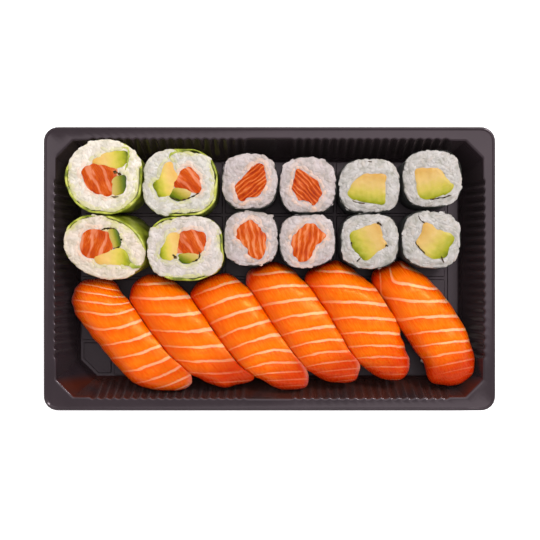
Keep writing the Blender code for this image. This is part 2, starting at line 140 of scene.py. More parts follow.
# Nigiri
SLAB_POINTS = 200
SLAB_ROWS = 46
SLAB_HEM = 2.2 * MM
SLAB_SWELL = 0.3 * MM
SLAB_GAP = 1.8 * MM  # slabs nearer than this are pressed together
SLAB_LIFT = 10 * MM  # how far their edges rise there
SLAB_END = 19 * MM
SLAB_SAG = 1.0 * MM
BAND_SWELL = 0.2 * MM
BAND_GROOVE = 0.08 * MM
GROOVE_SHARE = 0.11  # the groove's half width, as a share of a band
LINE_REACH = 38 * MM
ARM_GAP = 5 * MM


@dataclass(frozen=True)
class FatLines:
    """How the lines of fat cross a slab of salmon.

    heading is the slab's long way, at is where the middle lies between two lines, gap the
    distance between lines, slant how far a line runs on for each step across, and bow its
    curve. crowd is how much closer the lines are at the far end, and deep how red, and how
    darkly shaded by paint, that end is. near and far are how much the slant grows towards the
    two ends, and turn how much the bow grows at the near one. arm is where a line turns back
    along the left edge: how far left of the middle, and the line's number. hems are thin pale
    places on the edge: how far right of the middle, how far behind it, and how large, all
    three in millimetres.
    """

    heading: float
    at: float
    gap: float
    slant: float
    bow: float
    crowd: float
    near: float = 0
    far: float = 0
    turn: float = 0
    deep: float = 1.0
    arm: tuple = ()
    hems: tuple = ()


NIGIRI = {
    "nigiri_1": FatLines(
        *(-51, 0.549, 7.9 * MM, 0.47, -7, -0.17, 0.6, -0.13, 18, 0.5),
        hems=((-25, 17, 8), (30, -23, 4)),
    ),
    "nigiri_2": FatLines(-53, 0.905, 9.7 * MM, 0.73, -8, 0.2),
    "nigiri_3": FatLines(-55, 0.419, 7.5 * MM, 0.30, 6, 0.59, 0, 0.3, hems=((27, -19, 6),)),
    "nigiri_4": FatLines(
        *(-56, 0.453, 7.8 * MM, 0.45, 8, 0.55, 0.08, 0.05),
        arm=(23.9, -3),
        hems=((26, -21, 4), (-25, 22, 3)),
    ),
    "nigiri_5": FatLines(
        -59, 0.144, 8.3 * MM, 0.60, 8, 0.51, 0.08, arm=(22.3, -3), hems=((24, -19, 4),)
    ),
    "nigiri_6": FatLines(-58, 0.363, 7.9 * MM, 0.50, 9, 1.0, 0.38, -0.12, deep=1.2, arm=(17.1, -2)),
}

# Each roll's fillings, and the way from a filling's pale side to its green one, or across
# its streaks
FILLING_WAYS = {
    "avocado_maki_1": {"avocado": -98},
    "avocado_maki_2": {"avocado": -75},
    "avocado_maki_3": {"avocado": 215},
    "avocado_maki_4": {"avocado": -40},
    "green_roll_1": {"salmon": 26, "avocado": 10, "cucumber": 5},
    "green_roll_2": {"salmon": 45, "avocado": 200, "cucumber": 235},
    "green_roll_3": {"salmon": -14, "avocado": 0, "cucumber": 15},
    "green_roll_4": {"salmon": 34, "avocado": 190, "cucumber": 240},
    "salmon_maki_1": {"salmon": 128},
    "salmon_maki_2": {"salmon": 42},
    "salmon_maki_3": {"salmon": 10},
    "salmon_maki_4": {"salmon": -8},
}
PALE_SALMON = ("salmon_maki_3", "salmon_maki_4")

# Where a roll's wrap shows round its rice: the middle of each stretch and half its width
WRAP_SHOWS = {
    "green_roll_1": [(270, 62), (190, 28), (345, 30)],
    "green_roll_2": [(75, 24), (5, 30), (292, 42)],
    "green_roll_3": [(137, 20), (42, 44)],
    "green_roll_4": [(128, 20), (8, 16), (270, 36)],
}

# The shade of the rice in each roll or group of pieces
RICE_SHADES = {
    "green_roll_1": (243, 233, 220),
    "green_roll_2": (221, 215, 207),
    "green_roll_3": (236, 220, 205),
    "green_roll_4": (223, 212, 206),
    "salmon_maki": (204, 191, 190),
    "avocado_maki": (200, 194, 190),
    "nigiri": (244, 236, 230),
}

# Strips of wrap in the rice, and dark strips at the fillings: in the green rolls these are
# painted shade, dark stand-ins for the shaded gaps between the fillings. Each has its width
# and its line, in millimetres from the middle of the roll
WRAP_STRIPS = {
    "green_roll_1": [(1.0, [(8.6, 14.0), (11.2, 13.9), (12.2, 11.5), (11.8, 7.5), (10.4, 3.2)])],
    "green_roll_2": [(1.1, [(-4.9, 11.4), (-4.5, 12.9), (-3.2, 14.0), (-0.6, 14.5), (2.5, 14.7)])],
    "green_roll_3": [
        (1.7, [(9.4, -7.6), (11.8, -9.4), (14.6, -10.6), (17.0, -9.8)]),
        (0.8, [(-14.9, 11.2), (-12.2, 12.7), (-8.6, 13.6), (-5, 13.8)]),
    ],
}
DARK_STRIPS = {
    "green_roll_1": [
        (1.3, [(4.4, 2.5), (6.4, 2.0), (8.6, 1.1)]),
        (0.9, [(3.7, -9.0), (5.4, -9.7), (7.0, -9.4)]),
    ],
    "green_roll_2": [(0.7, [(-4.5, -7.3), (0.4, -8.6), (4.4, -7.6), (9.2, -5.0)])],
    "green_roll_3": [
        (0.9, [(-2.0, 7.1), (1.0, 8.1), (4.2, 7.6)]),
        (0.8, [(3.6, -1.7), (6.4, -0.8)]),
        (0.8, [(7.0, 2.9), (7.9, 2.5)]),
    ],
    "green_roll_4": [
        (1.1, [(-6.0, -3.0), (-4.9, -4.1), (-3.6, -4.6)]),
        (0.9, [(6.2, -1.4), (7.1, -3.3), (6.0, -5.2), (3.4, -6.2)]),
    ],
    "avocado_maki_1": [
        (0.6, [(-8.2, -7.2), (-5.0, -8.4), (-2.2, -8.6)]),
        (0.8, [(-1.0, 11.2), (1.2, 11.0)]),
    ],
    "avocado_maki_2": [(0.6, [(-1.2, -9.9), (4.0, -9.3), (9.0, -8.0)])],
    "avocado_maki_3": [
        (1.0, [(3.3, 8.8), (4.4, 8.4), (5.6, 7.3)]),
        (0.9, [(-9.0, -0.5), (-8.3, -2.2)]),
        (1.2, [(7.1, -1.6), (8.6, -2.3)]),
        (0.5, [(-6.2, -9.7), (-5.6, -8.8), (-4.4, -7.6)]),
    ],
    "avocado_maki_4": [
        (0.5, [(-6.4, 11.4), (-5.6, 9.4), (-3.3, 7.7)]),
        (0.6, [(-7.5, -0.8), (-7.0, -2.8), (-5.4, -4.2), (-3.0, -6.9)]),
        (0.8, [(4.3, -7.9), (5.1, -9.2), (5.7, -11.2)]),
    ],
}


# ---- Chance and unevenness ----


def dice_for(name):
    """A random generator of its own for each piece."""
    return np.random.default_rng(zlib.crc32(name.encode()))


def unevenness(points, size, name):
    """A smooth random height, about -1 to 1, with bumps about size across."""
    dice = dice_for(name)
    total = np.zeros(len(points))
    for _ in range(8):
        way = dice.normal(size=points.shape[1])
        way *= 2 * math.pi / (size * dice.uniform(1.2, 2.6) * np.linalg.norm(way))
        total += np.sin(points @ way + dice.uniform(0, 2 * math.pi))
    return total / 3


def smoothstep(low, high, value):
    share = np.clip((value - low) / (high - low), 0, 1)
    return share * share * (3 - 2 * share)


# ---- Reading the CAD nodes ----


def shape_of(node):
    """A node's points, with those in one place counted once, and its faces."""
    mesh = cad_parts[node].data
    points = np.array([vertex.co for vertex in mesh.vertices])
    spots = np.round(points / (0.001 * MM)).astype(int)
    _, first, same = np.unique(spots, axis=0, return_index=True, return_inverse=True)
    same = same.ravel()
    return points[first], [[int(same[i]) for i in face.vertices] for face in mesh.polygons]


def angles_of(ways):
    return np.arctan2(ways[:, 1], ways[:, 0])


def offsets_of(points):
    """The points in plan, from the middle of their box."""
    plan = points[:, :2]
    return plan - (plan.max(0) + plan.min(0)) / 2


def area_of(loop):
    ahead = np.roll(loop, -1, axis=0)
    return ((loop[:, 0] * ahead[:, 1] - loop[:, 1] * ahead[:, 0]).sum()) / 2


def from_the_right(loop):
    """The loop counter-clockwise, starting at the point straight to the right of its middle."""
    if area_of(loop) < 0:
        loop = loop[::-1]
    return np.roll(loop, -np.abs(angles_of(offsets_of(loop))).argmin(), axis=0)


def flat_outlines(node, height):
    """The outlines of a node's level faces at a height, the widest first."""
    points, faces = shape_of(node)
    level = [face for face in faces if np.ptp(points[face, 2]) < 0.01 * MM]
    level = [face for face in level if abs(points[face[0], 2] - height) < 0.02 * MM]
    sides = {side for face in level for side in zip(face, face[1:] + face[:1])}
    follow = {a: b for a, b in sides if (b, a) not in sides}
    outlines = []
    while follow:
        corner, following = follow.popitem()
        loop = [corner]
        while following != corner:
            loop.append(following)
            following = follow.pop(following)
        outlines.append(from_the_right(points[loop, :2]))
    return sorted(outlines, key=area_of, reverse=True)


def base_and_face(node, count):
    """A standing node's lower and upper outline, with count points each, and their heights."""
    low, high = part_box(node)
    base, face = (flat_outlines(node, height)[0] for height in (low.z, high.z))
    return rounded(base, count, ROLL_SOFTNESS), rounded(face, count, ROLL_SOFTNESS), low.z, high.z


# ---- Loops of points ----


def sides_of(loop):
    """How long the side that ends at each point of a closed loop is."""
    return np.linalg.norm(loop - np.roll(loop, 1, axis=0), axis=1)


def unit(ways):
    return ways / np.linalg.norm(ways, axis=1)[:, None]


def ways_of(angle):
    """The way ahead at an angle from x, and the way to its left."""
    turn = math.radians(angle)
    return np.array([[math.cos(turn), math.sin(turn)], [-math.sin(turn), math.cos(turn)]])


def at_shares(loop, shares):
    """The points at the given shares of a closed loop's length."""
    closed = np.vstack([loop, loop[:1]])
    steps = np.linalg.norm(np.diff(closed[:, :2], axis=0), axis=1)
    reached = np.concatenate([[0], np.cumsum(steps)]) / steps.sum()
    return np.column_stack([np.interp(shares, reached, column) for column in closed.T])


def rounded(loop, count, softness):
    """The loop as count even points, with what is smaller than softness smoothed away."""
    loop = at_shares(loop, np.arange(count) / count)
    length = sides_of(loop[:, :2]).sum()
    waves = np.fft.fftfreq(count, 1 / count)
    keep = np.exp(-((2 * math.pi * waves * softness / length) ** 2) / 2)
    return np.fft.ifft(np.fft.fft(loop, axis=0) * keep[:, None], axis=0).real


def outward_of(loop):
    """The way straight out from a counter-clockwise loop at each of its points."""
    ahead = np.roll(loop, -1, axis=0)[:, :2] - np.roll(loop, 1, axis=0)[:, :2]
    return unit(np.column_stack([ahead[:, 1], -ahead[:, 0]]))


def grown(loop, distance):
    """The loop moved out by distance, which is one number or one for each point."""
    return loop + outward_of(loop) * np.broadcast_to(distance, len(loop))[:, None]


def raised(loop, height):
    return np.column_stack([loop, np.broadcast_to(height, len(loop))])


def eased(line):
    """An open line with its corners cut round."""
    for _ in range(3):
        first, then = line[:-1], line[1:]
        cut = np.stack([0.75 * first + 0.25 * then, 0.25 * first + 0.75 * then], axis=1)
        line = np.vstack([line[:1], cut.reshape(-1, 2), line[-1:]])
    return line


def nearest_on(loop, points):
    """For each point: its distance to the closed loop, negative inside, and the way out."""
    start, end = loop, np.roll(loop, -1, axis=0)
    run = end - start
    offset = points[:, None] - start
    share = np.clip((offset * run).sum(2) / (run**2).sum(1), 0, 1)
    away = offset - share[..., None] * run
    far = np.linalg.norm(away, axis=2)
    best = far.argmin(1)
    row = np.arange(len(points))
    distance = np.maximum(far[row, best], 1e-9)
    above = (start[:, 1] > points[:, 1:]) != (end[:, 1] > points[:, 1:])
    rise = np.where(run[:, 1] == 0, 1e-12, run[:, 1])
    crossing = start[:, 0] + (points[:, 1:] - start[:, 1]) * run[:, 0] / rise
    inside = (above & (crossing > points[:, :1])).sum(1) % 2 == 1
    sign = np.where(inside, -1.0, 1.0)
    return sign * distance, away[row, best] * (sign / distance)[:, None]


def pressed(loop, others, gap):
    """The loop moved half way to meet each of the others where they are within gap of it."""
    moved = loop
    for other in others:
        distance, away = nearest_on(other, loop)
        share = smoothstep(gap, 0.6 * gap, distance)
        moved = moved - away * (share * distance / 2)[:, None]
    return moved


def scattered(low, high, spacing, dice):
    """An uneven honeycomb of plan points that covers a box."""
    rows = np.arange(low[1], high[1], spacing * 0.87)
    spots = []
    for number, y in enumerate(rows):
        x = np.arange(low[0] + (number % 2) * spacing / 2, high[0], spacing)
        spots.append(np.column_stack([x, np.full(len(x), y)]))
    spots = np.vstack(spots)
    return spots + dice.uniform(-0.3, 0.3, spots.shape) * spacing


# ---- Meshes ----


def bands(rows, count, start=0):
    """Four-sided faces between neighbouring loops of count points each."""
    i = np.arange(count)
    j = (i + 1) % count
    faces = []
    for row in range(rows - 1):
        a = start + row * count
        b = a + count
        faces += np.column_stack([a + i, a + j, b + j, b + i]).tolist()
    return faces


def shifted(faces, shift):
    """The faces, for points that come shift places later."""
    return [[corner + shift for corner in face] for face in faces]


def placed(name, data):
    made = bpy.data.objects.new(name, data)
    bpy.context.scene.collection.objects.link(made)
    return made


def make_piece(name, points, faces, material, nodes, uv=None, tint=None, sharp=50):
    """A finished mesh that rides on the tray and stands for its CAD nodes.

    uv and tint hold two numbers for each point: the piece's own lines, which its material
    follows, and how strong two changes of its colour are.
    """
    mesh = bpy.data.meshes.new(name)
    mesh.from_pydata(np.asarray(points).tolist(), [], faces)
    corner_points = np.empty(len(mesh.loops), np.int32)
    mesh.loops.foreach_get("vertex_index", corner_points)
    for layer_name, values in (("Flesh", uv), ("Tint", tint)):
        if values is not None:
            layer = mesh.uv_layers.new(name=layer_name)
            layer.uv.foreach_set("vector", np.asarray(values, np.float32)[corner_points].ravel())
    mesh.shade_smooth()
    mesh.set_sharp_from_angle(angle=math.radians(sharp))
    mesh.materials.append(material)
    piece = placed(name, mesh)
    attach(piece, "root")
    if nodes:
        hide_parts(*nodes)
    return piece


def triangulated(points, outlines):
    """Plan points inside outlines, the triangles between them, and the points they come from."""
    found = delaunay_2d_cdt([Vector(point) / MM for point in points], [], outlines, 1, 1e-5)
    spots = np.array([tuple(spot) for spot in found[0]]) * MM
    return spots, found[2], [source[0] for source in found[3]]


def filled_outline(outline, spacing, name):
    """Plan points over an outline, its own points first, and the triangles between them."""
    spots = scattered(outline.min(0), outline.max(0), spacing, dice_for(name))
    spots = spots[nearest_on(outline, spots)[0] < -0.5 * spacing]
    points, faces, _ = triangulated(np.vstack([outline, spots]), [list(range(len(outline)))])
    return points, faces


# ---- Materials ----


def colour(red, green, blue):
    """A colour given as 0 to 255 display values, as the shader wants it."""
    shares = np.array([red, green, blue]) / 255
    linear = np.where(shares < 0.04045, shares / 12.92, ((shares + 0.055) / 1.055) ** 2.4)
    return (*linear.tolist(), 1)


class Paint:
    """A material and short calls for the nodes that drive its shader.

    soft is the weight, radius and scale of the light that spreads under the surface, and
    coat the weight and roughness of a wet layer on it.
    """

    def __init__(self, name, soft=(), coat=(), **values):
        self.material = bpy.data.materials.new(name)
        self.material.use_nodes = True
        self.tree = self.material.node_tree
        self.shader = self.tree.nodes["Principled BSDF"]
        values.update(zip(("Subsurface_Weight", "Subsurface_Radius", "Subsurface_Scale"), soft))
        values.update(zip(("Coat_Weight", "Coat_Roughness"), coat))
        for socket, value in values.items():
            self.shader.inputs[socket.replace("_", " ")].default_value = value

    def node(self, kind, inputs=(), **settings):
        made = self.tree.nodes.new(kind)
        for key, value in settings.items():
            setattr(made, key, value)
        for socket, value in dict(inputs).items():
            if isinstance(value, bpy.types.NodeSocket):
                self.tree.links.new(value, made.inputs[socket])
            else:
                made.inputs[socket].default_value = value
        return made

    def place(self):
        """Where the surface is, in metres."""
        return self.node("ShaderNodeTexCoord").outputs["Object"]

    def flesh(self):
        """The piece's own lines, as make_piece stores them."""
        return self.node("ShaderNodeUVMap", uv_map="Flesh").outputs["UV"]

    def tint(self):
        """How strong the two changes of colour are, as make_piece stores them."""
        parts = self.split(self.node("ShaderNodeUVMap", uv_map="Tint").outputs["UV"])
        return parts["X"], parts["Y"]

    def split(self, vector):
        return self.node("ShaderNodeSeparateXYZ", {0: vector}).outputs

    def stretched(self, vector, scale):
        return self.node("ShaderNodeMapping", {"Vector": vector, "Scale": scale}).outputs["Vector"]

    def noise(self, vector, scale, detail=2.0, distortion=0.0):
        inputs = {"Vector": vector, "Scale": scale, "Detail": detail, "Distortion": distortion}
        return self.node("ShaderNodeTexNoise", inputs).outputs["Fac"]

    def maths(self, operation, first, second=0.0, third=0.0):
        inputs = {0: first, 1: second, 2: third}
        return self.node("ShaderNodeMath", inputs, operation=operation).outputs[0]

    def times(self, first, second):
        return self.maths("MULTIPLY", first, second)

    def scaled(self, value, by, plus):
        return self.maths("MULTIPLY_ADD", value, by, plus)

    def ramp(self, value, *stops):
        """A colour for each value, from stops of a value, red, green and blue."""
        made = self.node("ShaderNodeValToRGB", {"Fac": value})
        elements = made.color_ramp.elements
        while len(elements) < len(stops):
            elements.new(0.5)
        for element, (position, *shade) in zip(elements, stops):
            element.position = position
            element.color = colour(*shade)
        return made.outputs["Color"]

    def between(self, value, low, high):
        """0 at low, 1 at high and smooth between them."""
        inputs = {"Value": value, "From Min": low, "From Max": high}
        made = self.node("ShaderNodeMapRange", inputs, interpolation_type="SMOOTHSTEP")
        return made.outputs["Result"]

    def mixed(self, share, first, second):
        inputs = {0: share, 6: first, 7: second}
        return self.node("ShaderNodeMix", inputs, data_type="RGBA").outputs[2]

    def bumped(self, height, distance, strength=1.0, under=None):
        inputs = {"Height": height, "Distance": distance, "Strength": strength}
        if under:
            inputs["Normal"] = under
        return self.node("ShaderNodeBump", inputs).outputs["Normal"]

    def finish(self, shade, roughness=None, normal=None):
        for socket, output in (("Base Color", shade), ("Roughness", roughness), ("Normal", normal)):
            if output:
                self.tree.links.new(output, self.shader.inputs[socket])
        return self.material


def black_plastic():
    """Glossy black polystyrene sheet with faint ripples and fine scuffs.

    It is duller on the floor, and a painted reflection of the fish tints the front wall beside it
    brown.
    """
    paint = Paint(
        "black_plastic",
        IOR=1.5,
        Specular_Tint=(1.0, 0.85, 0.92, 1),
        Sheen_Weight=0.12,
        Sheen_Roughness=0.4,
        Sheen_Tint=(1.0, 0.78, 0.76, 1),
    )
    place = paint.place()
    parts = paint.split(place)
    facing = paint.split(paint.node("ShaderNodeNewGeometry").outputs["Normal"])["Y"]
    scuffs = paint.noise(place, 900, detail=6)
    patches = paint.noise(place, 45, detail=3)
    shade = paint.ramp(patches, (0.3, 35, 27, 31), (0.7, 44, 34, 39))
    # Painted reflection: the inside of the front wall, beside the slabs of salmon, is mixed towards
    # brown as if it mirrored the fish.
    painted_fish_reflection = paint.between(parts["Y"], -51 * MM, -56 * MM)
    painted_fish_reflection = paint.times(painted_fish_reflection, paint.between(parts["Y"], -64 * MM, -62.5 * MM))
    painted_fish_reflection = paint.times(painted_fish_reflection, paint.between(facing, 0.2, 0.7))
    painted_fish_reflection = paint.times(painted_fish_reflection, paint.between(patches, 0.25, 0.6))
    shade = paint.mixed(painted_fish_reflection, shade, colour(74, 28, 14))
    roughness = paint.scaled(patches, 0.12, 0.1)
    roughness = paint.scaled(paint.between(parts["Z"], 4 * MM, 2 * MM), 0.28, roughness)
    ripples = paint.bumped(paint.noise(place, 60, detail=1), 0.25 * MM, 0.3)
    fine = paint.bumped(scuffs, 0.02 * MM, 0.5, under=ripples)
    return paint.finish(shade, roughness, fine)


def cooked_rice(name, shade):
    """Cooked rice: milky and a little sticky, each grain a little off the given shade.

    Its first tint is a painted glow of the salmon beside it, and its second a painted glow of the
    green fillings and the wrap, as if their light bled into the rice.
    """
    soft = (0.12, (1.0, 0.85, 0.7), 0.8 * MM)
    paint = Paint(f"{name}_rice", soft, (0.06, 0.25), IOR=1.4, Roughness=0.4)
    grain = paint.node("ShaderNodeNewGeometry").outputs["Random Per Island"]
    red, green, blue = shade
    duller, browner = (red - 10, green - 11, blue - 11), (red - 8, green - 12, blue - 16)
    own = paint.ramp(grain, (0.0, *duller), (0.5, *shade), (1.0, *browner))
    cloudy = paint.noise(paint.place(), 280, detail=4)
    dull = colour(red - 48, green - 46, blue - 54)
    shade = paint.mixed(paint.between(cloudy, 0.35, 0.85), own, dull)
    # Painted glow: the rice near salmon and near the greens is mixed towards their colours, as if
    # their light bled into it.
    salmon, greens = paint.tint()
    blotches = paint.scaled(paint.noise(paint.place(), 260, detail=2), 1.4, 0.1)
    shade = paint.mixed(paint.times(salmon, blotches), shade, colour(240, 190, 158))
    shade = paint.mixed(paint.times(greens, blotches), shade, colour(204, 200, 112))
    skin = paint.bumped(paint.noise(paint.place(), 1500, detail=2), 0.05 * MM, 0.2)
    return paint.finish(shade, normal=skin)


def seaweed():
    """Dark roasted seaweed with a papery grain."""
    paint = Paint("nori", IOR=1.4, Sheen_Weight=0.08, Sheen_Roughness=0.5)
    place = paint.place()
    mottle = paint.noise(place, 420, detail=6)
    shade = paint.ramp(mottle, (0.3, 14, 16, 11), (0.55, 27, 30, 19), (0.8, 48, 47, 28))
    roughness = paint.scaled(mottle, 0.35, 0.28)
    fibres = paint.noise(paint.stretched(place, (1, 1, 0.25)), 1500, detail=4)
    grain = paint.bumped(fibres, 0.12 * MM, 0.7)
    return paint.finish(shade, roughness, grain)


def dark_strip_colour():
    """Dark strips, brown and dark green; in the green rolls, painted shade for the gaps between the
    fillings.
    """
    paint = Paint("dark_strip_colour", IOR=1.4, Specular_IOR_Level=0.2)
    mottle = paint.noise(paint.place(), 700, detail=4)
    shade = paint.ramp(mottle, (0.3, 22, 20, 4), (0.5, 54, 38, 10), (0.72, 120, 86, 44))
    grain = paint.bumped(mottle, 0.15 * MM, 0.6)
    roughness = paint.scaled(mottle, 0.3, 0.35)
    return paint.finish(shade, roughness, grain)


def green_wrap():
    """A thin pale-green wrap: lime and olive in patches, cream where it is cut."""
    paint = Paint("green_wrap", (0.2, (0.8, 1.0, 0.3), 1.2 * MM), (0.15, 0.2), IOR=1.42)
    place = paint.place()
    patches = paint.noise(paint.stretched(place, (1, 1, 0.5)), 190, detail=3)
    side = paint.ramp(patches, (0.3, 114, 124, 18), (0.5, 162, 170, 50), (0.72, 206, 208, 116))
    lime, cream = (0.46, 142, 150, 30), (0.68, 218, 214, 128)
    cut = paint.ramp(patches, (0.36, 96, 106, 10), lime, (0.56, 184, 188, 72), cream)
    edge = paint.split(paint.flesh())["Y"]
    shade = paint.mixed(paint.between(edge, 0.9, 1.0), side, cut)
    roughness = paint.scaled(patches, 0.25, 0.2)
    skin = paint.bumped(paint.noise(place, 900, detail=3), 0.1 * MM, 0.5)
    return paint.finish(shade, roughness, skin)


def salmon_filling(name, spacing, depth, soft, pale=0.0):
    """Cut salmon: streaks of flesh spacing apart in millimetres, some of them pale with fat.

    depth is how deep the grooves between streaks are, soft how much the colours blend, and
    pale how much lighter all of it is.
    """
    paint = Paint(name, (0.2, (1.0, 0.35, 0.15), 1.2 * MM), IOR=1.36, Specular_IOR_Level=0.2)
    flesh = paint.flesh()
    wander = paint.noise(paint.stretched(flesh, (0.25, 0.1, 1)), 1.0, detail=2)
    fine = paint.noise(paint.stretched(flesh, (2.4, 0.35, 1)), 1.0, detail=4, distortion=0.5)
    turns = paint.times(paint.split(flesh)["X"], 2 * math.pi / spacing)
    wave = paint.maths("SINE", paint.scaled(wander, 14 - 8 * soft, turns))
    streaks = paint.scaled(wave, 0.26 * (1 - soft), 0.5)
    streaks = paint.maths("ADD", streaks, paint.scaled(fine, 0.9, -0.45))
    drift = paint.noise(paint.place(), 160, detail=1)
    streaks = paint.maths("ADD", streaks, paint.scaled(drift, 0.7, pale - 0.35))
    meat = paint.ramp(
        streaks, (0.12, 156, 42, 0), (0.36, 184, 62, 0), (0.62, 204, 84, 4), (0.9, 224, 132, 74)
    )
    line = paint.between(wave, 0.35, 1.0)
    line = paint.times(line, paint.scaled(drift, 1.6, -0.1))
    shade = paint.mixed(paint.times(line, soft), meat, colour(230, 150, 112))
    relief = paint.bumped(streaks, depth * MM, 1.0)
    roughness = paint.scaled(fine, 0.3, 0.18)
    return paint.finish(shade, roughness, relief)


def salmon_slab():
    """A slab of raw salmon: bright orange bands between soft pale lines of fat.

    Its first tint turns it red and darker towards its edges and ends: partly the flesh's own
    redder edges, partly painted shade on the left flank, on the ends as they turn down and in
    the low creases between slabs. Its second is the pale, thin edge of the slice.
    """
    paint = Paint(
        "salmon_slab",
        soft=(0.6, (1.0, 0.2, 0.04), 4.2 * MM),
        IOR=1.36,
        Specular_IOR_Level=0.95,
        Specular_Tint=(1.0, 0.6, 0.18, 1),
    )
    flesh = paint.flesh()
    parts = paint.split(flesh)
    red, pale = paint.tint()
    wander = paint.noise(paint.stretched(flesh, (0.55, 1.3, 1)), 1.0, detail=2)
    band = paint.scaled(wander, 0.26, parts["X"])
    into = paint.maths("FRACT", paint.maths("SUBTRACT", band, 0.13))
    away = paint.maths("ABSOLUTE", paint.maths("SUBTRACT", into, 0.5))
    meat = paint.ramp(
        into,
        (0.0, 236, 74, 0),
        (0.25, 246, 96, 0),
        (0.6, 250, 118, 0),
        (0.9, 250, 110, 0),
        (1.0, 246, 98, 0),
    )
    fibres = paint.noise(paint.stretched(flesh, (1.6, 26, 1)), 1.0, detail=5, distortion=0.3)
    meat = paint.mixed(paint.between(fibres, 0.45, 0.8), meat, colour(255, 140, 14))
    ragged = paint.noise(paint.stretched(flesh, (2, 7, 1)), 1.0, detail=3)
    width = paint.noise(paint.stretched(flesh, (0.9, 0.8, 1)), 1.7, detail=1)
    thin = paint.scaled(ragged, 0.07, 0.305)
    thin = paint.scaled(width, 0.1, thin)
    thin = paint.scaled(parts["Y"], -0.02, thin)
    fat = paint.between(paint.maths("SUBTRACT", away, thin), 0.0, 0.065)
    # Painted light and shade: the fat lines are paler on the right flank, towards the key light,
    # and a duller orange on the left, away from it.
    leftward = paint.between(parts["Y"], -1.2, 0.4)
    fat_lit_and_shaded = paint.mixed(leftward, colour(252, 146, 84), colour(255, 184, 138))
    shade = paint.mixed(fat, meat, fat_lit_and_shaded)
    blotches = paint.noise(paint.place(), 120, detail=3)
    # Partly painted shade: where the tint says, the flesh is mixed towards a darker red, for its
    # own redder edges and for the shade on its flank, ends and creases.
    red_and_painted_shade = paint.times(red, paint.scaled(blotches, 0.6, 0.7))
    red_and_painted_shade = paint.times(red_and_painted_shade, paint.scaled(fat, -0.2, 1))
    shade = paint.mixed(red_and_painted_shade, shade, colour(204, 48, 0))
    shade = paint.mixed(pale, shade, colour(236, 178, 158))
    crinkle = paint.bumped(fibres, 0.16 * MM, 0.65)
    ridge = paint.bumped(fat, 0.16 * MM, 0.5, under=crinkle)
    roughness = paint.scaled(fibres, 0.26, 0.15)
    return paint.finish(shade, roughness, ridge)


def avocado_flesh(name, light):
    """Avocado: buttery yellow that turns lime and green towards where its skin was.

    light is how bright all of it is.
    """
    soft = (0.25, (1.0, 0.8, 0.15), 1.2 * MM)
    paint = Paint(name, soft, (0.03, 0.25), IOR=1.45, Specular_IOR_Level=0.25)
    mottle = paint.noise(paint.place(), 420, detail=4)
    way = paint.scaled(mottle, 0.5, paint.split(paint.flesh())["X"])
    way = paint.maths("SUBTRACT", way, 0.25)
    yellows = [(0.06, 222, 172, 86), (0.36, 228, 192, 112), (0.6, 214, 194, 80)]
    greens = [(0.8, 172, 172, 32), (0.93, 126, 134, 4), (1.0, 86, 96, 0)]
    stops = [(stop[0], *(light * part for part in stop[1:])) for stop in yellows + greens]
    shade = paint.ramp(paint.scaled(way, 0.5, 0.5), *stops)
    smears = paint.bumped(mottle, 0.25 * MM, 0.5)
    roughness = paint.scaled(mottle, 0.3, 0.22)
    return paint.finish(shade, roughness, smears)


def cucumber_flesh():
    """Cucumber: pale watery flesh, dark green at the skin."""
    soft = (0.3, (1.0, 1.0, 0.15), 1.2 * MM)
    paint = Paint("cucumber", soft, (0.04, 0.15), IOR=1.4, Specular_IOR_Level=0.25)
    veins = paint.noise(paint.place(), 650, detail=3)
    way = paint.scaled(veins, 0.3, paint.split(paint.flesh())["X"])
    way = paint.maths("SUBTRACT", way, 0.15)
    shade = paint.ramp(
        paint.scaled(way, 0.5, 0.5),
        (0.1, 206, 176, 104),
        (0.4, 182, 164, 66),
        (0.62, 128, 132, 16),
        (0.8, 82, 102, 0),
        (0.95, 48, 64, 0),
    )
    wet = paint.bumped(veins, 0.15 * MM, 0.4)
    return paint.finish(shade, paint.times(veins, 0.4), wet)


# ---- Tray ----


def wall_stations():
    """Where the wall's profile is drawn: mouth points, foot points and the bite of the flutes.

    The mouth points are as if there were no flutes. A bite is a step out of that line.
    """
    mouth = flat_outlines("tray", RIM_Z)[1]
    foot = flat_outlines("tray", FLOOR_Z)[0]
    half = foot.max(0)
    at_ends = foot[:, 0] > half[0] - 0.1 * MM
    at_sides = foot[:, 1] > half[1] - 0.1 * MM
    straight = np.array([foot[at_ends, 1].max(), foot[at_sides, 0].max()])
    facing = (abs(mouth) - mouth.max(0)).argmax(1)
    row = np.arange(len(mouth))
    feet = np.empty_like(mouth)
    feet[row, facing] = np.sign(mouth[row, facing]) * half[facing]
    along = mouth[row, 1 - facing]
    feet[row, 1 - facing] = np.clip(along, -straight[facing], straight[facing])
    reach = abs(mouth - feet)[row, facing]
    bite = reach - reach.min()
    step = np.zeros_like(mouth)
    step[row, facing] = np.sign(mouth[row, facing]) * bite
    stations = np.column_stack([mouth - step, feet, step])
    after = np.roll(stations, -1, axis=0)
    dense = []
    for here, there in zip(stations, after):
        steps = round(np.linalg.norm(there[:2] - here[:2]) / STATION_SPACING)
        steps = max(FLUTE_STEPS, steps)
        dense += [here + (there - here) * number / steps for number in range(steps)]
    dense = np.array(dense)
    deepest = bite.max()
    scallops = deepest * np.sin(dense[:, 4:] / deepest * math.pi / 2)
    return dense[:, :2], dense[:, 2:4], scallops


def round_rectangle(inset):
    """The rim's outline, moved in by inset."""
    low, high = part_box("tray")
    radius = RIM_RADIUS - inset
    half = np.array([high.x, high.y]) - RIM_RADIUS
    turns = np.radians(np.arange(0, 91, 6))
    points = [[(half[0] + radius, 0)]]
    for quarter, signs in enumerate([(1, 1), (-1, 1), (-1, -1), (1, -1)]):
        arc = turns + quarter * math.pi / 2
        points.append(half * signs + radius * np.column_stack([np.cos(arc), np.sin(arc)]))
    return np.vstack(points)


